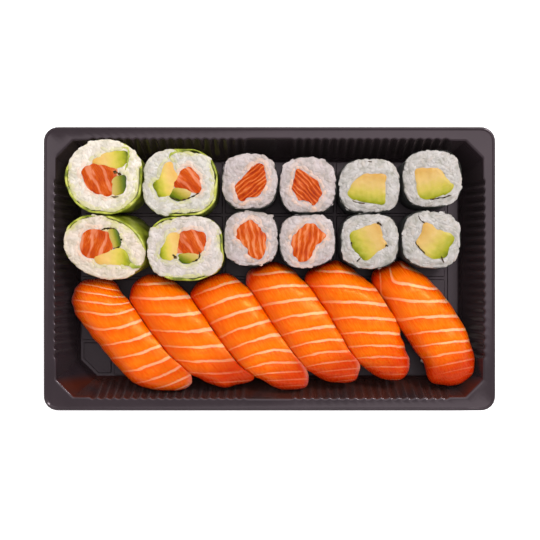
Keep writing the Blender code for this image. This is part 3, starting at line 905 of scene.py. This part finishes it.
def tile_outlines():
    """The raised tiles of the floor, as (foot, top) outlines."""
    half_x, half_y = flat_outlines("tray", FLOOR_Z)[0].max(0)
    lines_x = [-half_x, *GROOVES_X]
    lines_y = [-half_y, *GROOVES_Y, half_y]
    boxes = []
    for left, right in zip(lines_x, lines_x[1:]):
        for low, high in zip(lines_y, lines_y[1:]):
            first, last = left == -half_x, right == GROOVES_X[-1]
            at_corner = first and half_y in (-low, high)
            edge = CORNER_TILE_MARGIN if at_corner else TILE_MARGIN
            near = [edge if first else GROOVE / 2, GROOVE / 2]
            near += [edge if low == -half_y else GROOVE / 2, edge if high == half_y else GROOVE / 2]
            cuts = [TILE_CUT] * 4
            if half_y in (-low, high):
                far = high == half_y
                cuts[3 if far else 0] = CORNER_TILE_CUT if first else TILE_CUT
                cuts[2 if far else 1] = SIDE_TILE_CUT if last else TILE_CUT
            boxes.append((left + near[0], right - near[1], low + near[2], high - near[3], cuts))
    strip = half_y - CORNER_TILE_CUT - TILE_MARGIN
    strip_cuts = [TILE_CUT, SIDE_TILE_CUT, SIDE_TILE_CUT, TILE_CUT]
    boxes.append((lines_x[-1] + GROOVE / 2, half_x - TILE_MARGIN, -strip, strip, strip_cuts))
    tiles = []
    for left, right, low, high, cuts in boxes:
        corners = np.array([(left, low), (right, low), (right, high), (left, high)])
        outline = []
        for number, cut in enumerate(cuts):
            for neighbour in (corners[number - 1], corners[(number + 1) % 4]):
                outline.append(corners[number] + np.sign(neighbour - corners[number]) * cut)
        outline = np.array(outline)
        tiles.append((outline, grown(outline, -GROOVE_SLOPE)))
    return tiles


def tray_floor(rim):
    """Points and triangles of the tiled floor inside the wall's foot."""
    plan, heights, outlines = [], [], []
    count = 0
    levels = [(rim, SHEET)]
    for foot, top in tile_outlines():
        levels += [(foot, SHEET), (top, FLOOR_Z)]
    for outline, height in levels:
        plan.append(outline)
        heights += [height] * len(outline)
        outlines.append(list(range(count, count + len(outline))))
        count += len(outline)
    spots, faces, sources = triangulated(np.vstack(plan), outlines)
    return raised(spots, np.array(heights)[sources]), faces


def make_tray():
    """One moulded sheet: skirt, beaded flange, fluted wall and tiled floor."""
    plain, foot, scallops = wall_stations()
    half = foot.max(0)
    shares = sides_of(plain)
    shares = (np.cumsum(shares) - shares[0]) / shares.sum()
    count = len(plain)

    def rim(inset, height):
        return raised(at_shares(round_rectangle(inset), shares), height)

    def wall(height, push=0.0):
        share = (height - FLOOR_Z) / (RIM_Z - FLOOR_Z)
        depth = max(share, 0) ** FLUTE_GROWTH * (1 - FLUTE_FADE * smoothstep(0.96, 1, share))
        line = foot + (plain - foot) * share + scallops * depth
        return raised(line * (1 + push / half), height)

    rows = [rim(0, RIM_Z - drop) for drop in (SKIRT, 1.2 * MM, 0.3 * MM)]
    bead = [(0.2, 0.1), (0.45, 0.3), (0.75, 0.4), (1.0, 0.38), (1.25, 0.24), (1.45, 0.06)]
    bead.append((1.75, 0))
    rows += [rim(inset * MM, RIM_Z + rise * MM) for inset, rise in bead]
    lip = [(0.9, 0.0), (0.55, 0.02), (0.25, 0.12), (0.08, 0.32), (0.0, 0.6)]
    lip += [(0.0, drop) for drop in (2.5, 5, 8, 12, 16, 19.5)]
    rows += [wall(RIM_Z - drop * MM, push * MM) for push, drop in lip]
    toe = [(0.0, 2.6), (-0.02, 1.7), (-0.08, 1.2), (-0.18, 0.85), (-0.32, 0.66)]
    rows += [wall(height * MM, push * MM) for push, height in toe]
    rows.append(wall(SHEET, -0.45 * MM))

    floor_points, floor_faces = tray_floor(rows[-1][:, :2])
    points = np.vstack([*rows[:-1], floor_points])
    faces = bands(len(rows), count) + shifted(floor_faces, count * (len(rows) - 1))
    black = black_plastic()
    tray = make_piece("tray_sheet", points, faces, black, ["tray"], sharp=40)
    solid = tray.modifiers.new("Sheet", "SOLIDIFY")
    solid.thickness = SHEET
    solid.offset = -1


# ---- Rice ----


def grain_shape():
    """One plump grain, two units long: its points and its faces."""
    along = np.cos(np.linspace(0, math.pi, 7))[1:-1]
    around = np.linspace(0, 2 * math.pi, 8, endpoint=False)
    points = [(1, 0, 0)]
    for x in along:
        reach = (1 - abs(x) ** 2.5) ** (1 / 2.1)
        points += [(x, reach * math.cos(a), reach * math.sin(a)) for a in around]
    points.append((-1, 0, 0))
    rings = len(along)
    last = len(points) - 1
    faces = bands(rings, 8, start=1)
    for i in range(8):
        j = (i + 1) % 8
        faces.append([0, 1 + j, 1 + i])
        faces.append([last, last - 8 + i, last - 8 + j])
    return np.array(points), [list(reversed(face)) for face in faces]


GRAIN_POINTS, GRAIN_FACES = grain_shape()


def grains_at(centres, along, dice):
    """Grains with their middles at centres and their long axes along the given ways."""
    count = len(centres)
    side = unit(np.cross(along, dice.normal(size=(count, 3))))
    up = np.cross(along, side)
    half_length = GRAIN_LENGTH / 2 * dice.uniform(0.82, 1.12, count)
    half_width = GRAIN_WIDTH / 2 * dice.uniform(0.88, 1.12, count)
    bend = dice.uniform(-0.25, 0.25, count)
    x, y, z = GRAIN_POINTS.T
    points = (
        centres[:, None]
        + (half_length[:, None] * x)[..., None] * along[:, None]
        + (half_width[:, None] * (y + bend[:, None] * x**2))[..., None] * side[:, None]
        + (half_width[:, None] * z * 0.86)[..., None] * up[:, None]
    )
    steps = range(0, count * len(GRAIN_POINTS), len(GRAIN_POINTS))
    return points, [face for step in steps for face in shifted(GRAIN_FACES, step)]


def face_level(rim, top, shoulder, points):
    """The height of a cut face at plan points: level, and lower by shoulder at its rim."""
    from_rim = -nearest_on(rim, points)[0]
    return top - shoulder * (1 - smoothstep(-0.4 * MM, 3.4 * MM, from_rim))


def face_grains(roll, rim, fillings, top, shoulder):
    """The grains that show on a cut face, sliced off level with it, and their painted glow.

    fillings are the outlines of the fillings by kind.
    """
    dice = dice_for(f"{roll}_rice")
    rim_shares = np.arange(0, 1, RIM_GRAIN_SPACING / sides_of(rim).sum())
    rim_row = at_shares(grown(rim, -RIM_ROW_IN), rim_shares)
    spots = scattered(rim.min(0), rim.max(0), GRAIN_SPACING, dice)
    spots = np.vstack([spots[nearest_on(rim, spots)[0] < -RIM_ROW_ROOM], rim_row])
    distance, across = nearest_on(rim, spots)
    room = -distance
    near = {"rim": room}
    for kind, filling in fillings.items():
        distance, away = nearest_on(filling, spots)
        near[kind] = distance
        closer = distance < room
        room = np.where(closer, distance, room)
        across = np.where(closer[:, None], away, across)
    kept = room > LEAST_ROOM
    spots, room, across = spots[kept], room[kept], across[kept]
    heading = angles_of(across) + math.pi / 2
    heading = np.where(room > LOOSE_ROOM, dice.uniform(0, math.pi, len(spots)), heading)
    heading += dice.normal(0, HEADING_SPREAD, len(spots))
    tilt = np.abs(dice.normal(0, TILT_SPREAD, len(spots))).clip(0, 1.2)
    level_part = np.cos(tilt)
    along = [np.cos(heading) * level_part, np.sin(heading) * level_part, np.sin(tilt)]
    along = np.column_stack(along)
    half_height = np.hypot(GRAIN_LENGTH / 2 * np.sin(tilt), GRAIN_WIDTH / 2 * np.cos(tilt))
    level = face_level(rim, top, shoulder, spots)
    height = level - half_height + dice.uniform(0, 0.5, len(spots)) * MM
    points, faces = grains_at(np.column_stack([spots, height]), along, dice)
    points = points.reshape(-1, 3)
    over = points[:, 2] - (face_level(rim, top, shoulder, points[:, :2]) - 0.08 * MM)
    points[:, 2] -= np.maximum(over, 0) * (1 - CUT_SQUASH)
    points[:, 2] = np.minimum(points[:, 2], cad_high.z)
    # Painted glow: how strongly each grain takes the colour of the salmon, the green fillings and
    # the wrap near it.
    salmon_glow = smoothstep(3.2 * MM, 0, near.get("salmon", np.full(len(distance), 1.0))[kept])
    greens = [near[kind][kept] for kind in ("avocado", "cucumber") if kind in near]
    green = smoothstep(3 * MM, 0, np.min(greens, axis=0)) if greens else 0 * salmon_glow
    rim_green = smoothstep(3.2 * MM, 0.8 * MM, near["rim"][kept])
    rim_green = rim_green * (0.12 + 0.88 * shown_share(roll, spots))
    green = np.maximum(green, rim_green) * ("cucumber" in near)
    painted_glow = np.repeat(np.column_stack([salmon_glow, green]), len(GRAIN_POINTS), axis=0)
    return points, faces, painted_glow * PAINTED_GLOW_STRENGTH


def shown_share(roll, points):
    """How much of a roll's wrap shows at each point round it, from 0 to 1."""
    angle = np.degrees(angles_of(offsets_of(points)))
    shown = np.zeros(len(points))
    for middle, half in WRAP_SHOWS.get(roll, []):
        away = np.abs((angle - middle + 180) % 360 - 180)
        shown = np.maximum(shown, smoothstep(half + 7, half - 7, away))
    return shown


def make_roll_rice(roll, fillings, shoulder, rice):
    """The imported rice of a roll: a solid core under a layer of real grains.

    The grains lie over the edge of the skin, except where the wrap shows.
    """
    node = f"{roll}_rice"
    base, face, low, high = base_and_face(node, RICE_POINTS)
    reach = 0.45 * MM
    if roll in WRAP_SHOWS:
        reach = (0.9 - 1.05 * shown_share(roll, face)) * MM
    rim = grown(face, reach + 0.12 * MM * unevenness(face, 5 * MM, roll + "reach"))
    rows = []
    for share in np.linspace(0, 1, 5):
        loop = grown(base + (face - base) * share, -0.3 * MM)
        rows.append(raised(loop, low + (high - 1.2 * MM - shoulder - low) * share))
    middle = rows[-1][:, :2].mean(0)
    for share in (0.99, 0.95, 0.9, 0.84, 0.76, 0.5, 0.2):
        loop = middle + (rows[4][:, :2] - middle) * share
        rows.append(raised(loop, face_level(rim, high, shoulder, loop) - RICE_DEPTH))
    core = np.vstack([*rows, [*middle, high - RICE_DEPTH]])
    faces = bands(len(rows), RICE_POINTS)
    tip = len(core) - 1
    last = tip - RICE_POINTS
    faces += [[last + i, last + (i + 1) % RICE_POINTS, tip] for i in range(RICE_POINTS)]
    faces.append(list(range(RICE_POINTS))[::-1])
    grain_points, grain_faces, painted_glow = face_grains(roll, rim, fillings, high, shoulder)
    faces += shifted(grain_faces, len(core))
    points, tint = np.vstack([core, grain_points]), np.vstack([np.zeros((len(core), 2)), painted_glow])
    make_piece(f"{roll}_rice_grains", points, faces, rice, [node], tint=tint)
    return rim


# ---- Skins ----


def make_skin(roll, kind, sheet, dip, material):
    """A roll's outer skin: a thin sheet with a rounded, uneven upper edge."""
    node = f"{roll}_{kind}"
    base, face, low, high = base_and_face(node, SKIN_POINTS)
    around = np.arange(SKIN_POINTS) / SKIN_POINTS
    ring = np.column_stack([np.cos(around * 2 * math.pi), np.sin(around * 2 * math.pi)])
    edge = high - dip * (1 + 0.6 * unevenness(ring, 0.5, node))
    if roll in WRAP_SHOWS:
        edge = edge - 2 * MM * (1 - shown_share(roll, face))
    sheet = sheet * (1 + 0.3 * unevenness(ring, 0.4, node + "sheet"))
    rows, marks = [], []

    def add(share, push, height, mark):
        loop = base + (face - base) * share
        wrinkle = unevenness(np.column_stack([loop, height]), 4 * MM, node + "wrinkle")
        loop = grown(loop, push + 0.12 * MM * wrinkle * (push < 0.1 * MM) - 0.1 * MM)
        rows.append(raised(loop, height))
        marks.append(np.column_stack([around, np.full(SKIN_POINTS, mark)]))

    for share in np.linspace(0, 1, 14)[:-1]:
        add(share, 0.0, low + (edge - low) * share, share * 0.9)
    lip = [(0, 0.35, 0.92), (0.15, 0.08, 0.97), (0.5, 0, 1.0), (0.85, 0.08, 1.0), (1, 0.35, 1.0)]
    for push, drop, mark in lip:
        add(1, -push * sheet, edge - drop * sheet, mark)
    add(1, -sheet, edge - 1.5 * MM, 1.0)
    add(0.85, -sheet, edge - 4 * MM, 1.0)
    faces, uv = bands(len(rows), SKIN_POINTS), np.vstack(marks)
    make_piece(f"{roll}_{kind}_sheet", np.vstack(rows), faces, material, [node], uv=uv)


# ---- Fillings ----


def filling_height(plan, edge_distance, name):
    """How far a filling's cut top lies above the level of the cut, at each plan point."""
    rim = smoothstep(0, 1.2 * MM, edge_distance) - 1
    rough = unevenness(plan, 5 * MM, name) * 0.18 + unevenness(plan, 1.8 * MM, name + "f") * 0.05
    return (0.12 + rim * 0.3 + rough) * MM


def filling_outlines(roll, kinds):
    """The base and the cut face of each filling, with the faces pressed against each other."""
    outlines = {}
    for kind in kinds:
        node = f"{roll}_{kind}"
        base, face = (flat_outlines(node, end.z)[0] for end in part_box(node))
        count = max(40, int(sides_of(face).sum() / FILLING_SPACING))
        outlines[kind] = [rounded(loop, count, FILLING_SOFTNESS) for loop in (base, face)]
    met = {}
    for kind, (base, face) in outlines.items():
        others = [outlines[other][1] for other in kinds if other != kind]
        ragged = unevenness(face, 2.2 * MM, roll + kind) * (0.2 if kind == "salmon" else 0.12)
        met[kind] = base, grown(pressed(face, others, FILLING_GAP), 0.4 * MM + ragged * MM)
    return met


def make_filling(roll, kind, outlines, material):
    """A filling that runs down through the rice, with its cut top."""
    node = f"{roll}_{kind}"
    low, high = (end.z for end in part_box(node))
    base, face = outlines
    count = len(face)
    plan, top_faces = filled_outline(face, FILLING_SPACING, node)
    edge_distance = -nearest_on(face, plan)[0]
    edge_distance[:count] = 0
    ways = ways_of(FILLING_WAYS[roll][kind])
    middle = (face.max(0) + face.min(0)) / 2
    half = abs((face - middle) @ ways[0]).max()
    step = MM if kind == "salmon" else half

    def lines(points):
        return (points - middle) @ ways.T / step

    top = np.minimum(high + filling_height(plan, edge_distance, node), cad_high.z)
    points, marks = [raised(plan, top)], [lines(plan)]
    for share, drop in ((1, 0.8), (0.95, 2.5), (0.5, 0), (0, 0)):
        loop = base + (face - base) * share
        height = low + (high - low) * share - drop * MM
        points.append(raised(loop, height))
        marks.append(lines(loop + (face.mean(0) - loop.mean(0))))
    total = len(plan)
    i = np.arange(count)
    j = (i + 1) % count
    faces = top_faces + np.column_stack([total + i, total + j, j, i]).tolist()
    faces += [side[::-1] for side in bands(4, count, total)]
    points, marks = np.vstack(points), np.vstack(marks)
    make_piece(f"{node}_cut", points, faces, material, [node], uv=marks)


def make_strips(name, roll, strips, rim, shoulder, material):
    """Thin strips that stand in a cut face, tapered at both ends, as one piece."""
    low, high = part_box(f"{roll}_rice")
    middle = np.array([low.x + high.x, low.y + high.y]) / 2
    turns = np.arange(STRIP_SIDES) * 2 * math.pi / STRIP_SIDES
    points, faces = [], []
    for number, (width, line) in enumerate(strips):
        path = middle + eased(np.array(line, float)) * MM
        wander = [unevenness(path, 1.6 * MM, f"{name}{number}{axis}") for axis in "xy"]
        path = path + np.column_stack(wander) * 0.12 * MM
        run = np.gradient(path, axis=0)
        side = unit(np.column_stack([-run[:, 1], run[:, 0]]))
        share = np.linspace(0, 1, len(path))
        half = width / 2 * MM * np.sqrt(np.sin(math.pi * share.clip(0.02, 0.98)))
        half *= 0.85 + 0.5 * unevenness(path, 1.1 * MM, f"{name}{number}w").clip(-1, 1)
        level = face_level(rim, high.z, shoulder, path)
        start = sum(map(len, points))
        for turn in turns:
            rise = math.sin(turn) * (STRIP_RISE if math.sin(turn) > 0 else STRIP_DEPTH)
            height = np.minimum(level + rise, cad_high.z)
            points.append(raised(path + side * (math.cos(turn) * half)[:, None], height))
        count = len(path)
        steps = np.arange(count - 1)
        for edge in range(STRIP_SIDES):
            a = start + edge * count + steps
            b = start + (edge + 1) % STRIP_SIDES * count + steps
            faces += np.column_stack([a, b, b + 1, a + 1]).tolist()
        ends = [start + edge * count for edge in range(STRIP_SIDES)]
        faces += [ends[::-1], [corner + count - 1 for corner in ends]]
    uv = np.full((sum(map(len, points)), 2), 0.5)
    make_piece(f"{roll}_{name}", np.vstack(points), faces, material, [], uv=uv)


# ---- Nigiri ----


def slab_outline(node):
    """A slab's outline in plan with the height of its edge, and the middle of its top."""
    points, _ = shape_of(node)
    middle = points[points[:, 2].argmax()]
    offset = points[:, :2] - middle[:2]
    reach = np.linalg.norm(offset, axis=1)
    angle = np.round(angles_of(offset), 3)
    widest = []
    for way in np.unique(angle[reach > MM]):
        there = np.flatnonzero((angle == way) & (reach > MM))
        widest.append(points[there[reach[there].argmax()]])
    return from_the_right(np.array(widest)), middle


def slab_outlines():
    """Each slab's outline, pressed against its neighbours, and the middle of its top."""
    found = {name: slab_outline(f"{name}_salmon") for name in NIGIRI}
    loops = {name: rounded(loop, SLAB_POINTS, 1.6 * MM) for name, (loop, _) in found.items()}
    outlines = {}
    for name, loop in loops.items():
        others = [loops[other][:, :2] for other in loops if other != name]
        ragged = unevenness(loop[:, :2], 5 * MM, name + "edge") * 0.25 * MM
        plan = grown(loop[:, :2], SLAB_SWELL + ragged)
        meeting = [grown(other, SLAB_SWELL) for other in others]
        nearest = np.min([nearest_on(other, plan)[0] for other in meeting], axis=0)
        lift = SLAB_LIFT * smoothstep(1.6 * SLAB_GAP, 0.4 * SLAB_GAP, nearest)
        lift = rounded(raised(plan, lift), SLAB_POINTS, 4 * MM)[:, 2]
        plan = pressed(plan, meeting, SLAB_GAP)
        outline = raised(plan, loop[:, 2] + lift)
        outlines[name] = rounded(outline, SLAB_POINTS, 0.8 * MM), found[name][1]
    return outlines


def band_numbers(lines, offset):
    """The number of the line of fat at each point, whole on a line.

    offset is how far each point lies from the middle of the slab.
    """
    ahead, left = ways_of(lines.heading)
    along, across = offset @ ahead, offset @ left
    slant = lines.slant + lines.near * smoothstep(-4 * MM, -18 * MM, along)
    slant = slant + lines.far * smoothstep(4 * MM, 24 * MM, along)
    bow = lines.bow + lines.turn * smoothstep(-2 * MM, -20 * MM, along)
    run = along - slant * across - bow * (across**2 - 50 * MM**2)
    run = LINE_REACH * np.arcsin(np.clip(run / LINE_REACH, -0.98, 0.98))
    band = lines.at + run / lines.gap + lines.crowd * (run / MM) ** 2 / 1000
    if lines.arm:
        place, number = lines.arm
        arm = number - (offset[:, 0] + place * MM) / ARM_GAP
        band = np.logaddexp(5 * band, 5 * arm) / 5
    return band


def slab_tint(lines, offset, share, height):
    """How red and painted with shade, and how pale and thin, a slab is at each point."""
    ahead, left = ways_of(lines.heading)
    along, across = offset @ ahead, offset @ left
    # The red is partly the flesh's own, redder at its thin edges, and partly painted shade: more on
    # the left flank, away from the key light, on the ends that turn down, and low down in the
    # creases between slabs.
    red = 0.55 * smoothstep(-1 * MM, -12 * MM, across)
    red = red + 0.25 * smoothstep(9.5 * MM, 13 * MM, across)
    red = red + 0.5 * smoothstep(-20 * MM, -34 * MM, along)
    red = red + lines.deep * smoothstep(12 * MM, 31 * MM, along)
    red = (red + 0.6 * smoothstep(23 * MM, 14 * MM, height)).clip(0, 1.2)
    pale = np.zeros(len(offset))
    for x, y, size in lines.hems:
        away = np.linalg.norm(offset / MM - [x, y], axis=1) / size
        pale = np.maximum(pale, np.exp(-(away**2)) * smoothstep(0.86, 0.99, share))
    return np.column_stack([red, pale * 0.35])


def make_slab(name, outline, crown, material):
    """A slab of salmon draped over its rice, with its uv running across the lines of fat."""
    node = f"{name}_salmon"
    lines = NIGIRI[name]
    ahead, left = ways_of(lines.heading)
    plan, edge_z = outline[:, :2], outline[:, 2]
    hem = slab_tint(lines, plan - crown[:2], np.ones(len(plan)), edge_z)[:, 1]
    frill = 0.5 + 0.5 * unevenness(plan, 2.5 * MM, node + "frill")
    plan = grown(plan, hem * (0.5 + frill) * MM)
    run = (plan - crown[:2]) @ ahead
    held = run.clip(run.min() + SLAB_END, run.max() - SLAB_END)
    steps = np.arange(1, SLAB_POINTS // 2)
    this_side, that_side = ((run.argmax() + way * steps) % SLAB_POINTS for way in (1, -1))
    held[this_side] = held[that_side] = (held[this_side] + held[that_side]) / 2
    spine = crown[:2] + held[:, None] * ahead
    ridge = crown[2] - 0.5 * MM - SLAB_SAG * (held / SLAB_END) ** 2
    power = 3.4 - smoothstep(0, 10 * MM, np.abs(run - held))
    rows, reached = [], []

    def dome(share):
        return edge_z + (ridge - edge_z) * (1 - share**power) ** 0.6

    for share in np.cos(np.linspace(0, math.pi / 2, SLAB_ROWS)).round(6):
        loop = spine + (plan - spine) * share
        band = band_numbers(lines, loop - crown[:2])
        groove = np.exp(-((np.abs(band - np.round(band)) / GROOVE_SHARE) ** 2))
        swell = np.sin(np.pi * (band % 1)) * BAND_SWELL - groove * BAND_GROOVE
        lumps = unevenness(loop, 14 * MM, node + "lumps") * 0.5 * MM
        lumps += unevenness(loop, 5 * MM, node + "dents") * 0.12 * MM
        lift = (swell + lumps) * (1 - share**6)
        rows.append(raised(loop, np.minimum(dome(share) + lift, cad_high.z)))
        reached.append(share)
    for share, drop in ((0.99, 0.5), (0.95, 0.9), (0.88, 1.0), (0.76, 0.4), (0.55, -1.5)):
        loop = spine + (plan - spine) * share
        rows.insert(0, raised(loop, np.minimum(edge_z - SLAB_HEM * drop, dome(share) - SLAB_HEM)))
        reached.insert(0, 1)
    points = np.vstack(rows)
    shares = np.repeat(reached, SLAB_POINTS)
    offset = points[:, :2] - crown[:2]
    uv = np.column_stack([band_numbers(lines, offset), offset @ left / (10 * MM)])
    tint = slab_tint(lines, offset, shares, points[:, 2])
    last = len(points) - SLAB_POINTS
    joined = dict(zip((last + that_side).tolist(), (last + this_side).tolist()))
    faces = [[joined.get(point, point) for point in face] for face in bands(len(rows), SLAB_POINTS)]
    make_piece(f"{name}_slab", points, faces, material, [node], uv=uv, tint=tint)


def make_nigiri_rice(name, outline, rice):
    """The pressed block of rice under a slab: a core with grains all round its sides.

    outline is the slab's. A grain that would stick out from under it is left out.
    """
    node = f"{name}_rice"
    dice = dice_for(node)
    corners, faces = shape_of(node)
    faces = np.array([face[:3] for face in faces])
    a, b, c = corners[faces[:, 0]], corners[faces[:, 1]], corners[faces[:, 2]]
    normals = np.cross(b - a, c - a)
    areas = np.linalg.norm(normals, axis=1)
    normals /= areas[:, None]
    chance = areas * (normals[:, 2] > -0.9)
    picked = dice.choice(len(faces), BLOCK_GRAIN_TRIES, p=chance / chance.sum())
    u = np.sqrt(dice.uniform(size=(BLOCK_GRAIN_TRIES, 1)))
    v = dice.uniform(size=(BLOCK_GRAIN_TRIES, 1))
    spots = a[picked] * (1 - u) + b[picked] * (u * (1 - v)) + c[picked] * (u * v)
    below = spots[:, 2] < BLOCK_TOP
    spots, ways = spots[below], normals[picked][below]
    kept = []
    for number, spot in enumerate(spots):
        if not kept or np.linalg.norm(spots[kept] - spot, axis=1).min() > BLOCK_GRAIN_GAP:
            kept.append(number)
    spots, ways = spots[kept], ways[kept]
    along = unit(np.cross(ways, dice.normal(size=spots.shape)))
    along = unit(along + ways * dice.normal(0, 0.25, len(spots))[:, None])
    points, grain_faces = grains_at(spots - ways * GRAIN_WIDTH * 0.65, along, dice)
    reach = nearest_on(outline[:, :2], points[..., :2].reshape(-1, 2))[0]
    under = reach.reshape(len(points), -1).max(axis=1) < -0.3 * MM
    grain_faces = grain_faces[: under.sum() * len(GRAIN_FACES)]
    points = points[under].reshape(-1, 3)
    points[:, 2] = np.maximum(points[:, 2], FLOOR_Z)
    middle = corners.mean(0)
    core = middle + (corners - middle) * BLOCK_CORE
    faces = faces.tolist() + shifted(grain_faces, len(core))
    make_piece(f"{name}_rice_grains", np.vstack([core, points]), faces, rice, [node])


# ---- Surroundings ----


def make_camera():
    data = bpy.data.cameras.new("camera")
    data.sensor_width = SENSOR
    data.lens = SENSOR * CAMERA_OVER_RIM / FIELD_AT_RIM
    data.clip_start = 10 * MM
    camera = placed("camera", data)
    camera.location = (CAMERA_X, CAMERA_Y, RIM_Z + CAMERA_OVER_RIM)
    bpy.context.scene.camera = camera


def make_light(name, place, size, power):
    """A square lamp that shines at the middle of the tray."""
    data = bpy.data.lights.new(name, "AREA")
    data.size = size
    data.energy = power
    light = placed(name, data)
    light.location = place
    light.rotation_euler = (-Vector(place)).to_track_quat("-Z", "Y").to_euler()


def make_floor():
    mesh = bpy.data.meshes.new("floor")
    corners = [(FLOOR_HALF * x, FLOOR_HALF * y, 0) for x, y in ((-1, -1), (1, -1), (1, 1), (-1, 1))]
    mesh.from_pydata(corners, [], [(0, 1, 2, 3)])
    paint = Paint("floor", Roughness=0.9, Emission_Color=(1, 1, 1, 1), Emission_Strength=0.6)
    soft = paint.noise(paint.place(), 6, detail=2)
    shade = paint.ramp(soft, (0.3, 250, 250, 250), (0.7, 255, 255, 255))
    mesh.materials.append(paint.finish(shade))
    placed("floor", mesh)


def make_studio():
    """Soft light from all round, brightest at the sides, and three lights: overhead, key, fill."""
    world = bpy.data.worlds.new("studio")
    world.use_nodes = True
    nodes, links = world.node_tree.nodes, world.node_tree.links
    way = nodes.new("ShaderNodeTexCoord")
    split = nodes.new("ShaderNodeSeparateXYZ")
    sky = nodes.new("ShaderNodeValToRGB")
    for element, (height, light) in zip(sky.color_ramp.elements, SKY):
        element.position = height
        element.color = (light, light * 0.975, light * 0.985, 1)
    links.new(way.outputs["Generated"], split.inputs[0])
    links.new(split.outputs["Z"], sky.inputs["Fac"])
    links.new(sky.outputs["Color"], nodes["Background"].inputs["Color"])
    bpy.context.scene.world = world
    for name, (place, size, power) in LIGHTS.items():
        make_light(name, place, size, power)
    bpy.context.scene.view_settings.view_transform = "Standard"
    bpy.context.scene.view_settings.look = "None"


def main():
    make_camera()
    make_floor()
    make_studio()
    make_tray()
    rice = {group: cooked_rice(group, shade) for group, shade in RICE_SHADES.items()}
    # The dark brown-green strip colour: in the green rolls these strips are painted shade for the
    # gaps between the fillings.
    nori, skin, wrap, slab = seaweed(), dark_strip_colour(), green_wrap(), salmon_slab()
    roll_flesh = {
        "salmon": salmon_filling("salmon_in_rolls", 5.5, 0.15, 0.75),
        "avocado": avocado_flesh("avocado_in_rolls", 1.0),
        "cucumber": cucumber_flesh(),
    }
    maki_flesh = {
        "salmon": salmon_filling("salmon_in_maki", 1.8, 0.45, 0.1, -0.06),
        "avocado": avocado_flesh("avocado_in_maki", 0.91),
    }
    pale_flesh = {"salmon": salmon_filling("pale_salmon_in_maki", 2.8, 0.25, 0.45, 0.12)}
    for roll, kinds in FILLING_WAYS.items():
        big = roll.startswith("green_roll")
        flesh = roll_flesh if big else pale_flesh if roll in PALE_SALMON else maki_flesh
        outlines = filling_outlines(roll, kinds)
        for kind, pair in outlines.items():
            make_filling(roll, kind, pair, flesh[kind])
        faces = {kind: face for kind, (_, face) in outlines.items()}
        shoulder = (0.6 if big else 1.4) * MM
        rim = make_roll_rice(roll, faces, shoulder, rice[roll if big else roll[:-2]])
        if big:
            make_skin(roll, "green_wrap", WRAP_SHEET, 0.4 * MM, wrap)
        else:
            make_skin(roll, "nori", NORI_SHEET, 1.9 * MM, nori)
        if roll in WRAP_STRIPS:
            make_strips("wrap_strips", roll, WRAP_STRIPS[roll], rim, shoulder, wrap)
        # Dark strips at the fillings; in the green rolls, painted shade standing in for the shaded
        # gaps between them.
        if roll in DARK_STRIPS:
            make_strips("scraps", roll, DARK_STRIPS[roll], rim, shoulder, skin)
    for name, (outline, crown) in slab_outlines().items():
        make_slab(name, outline, crown, slab)
        make_nigiri_rice(name, outline, rice["nigiri"])


main()
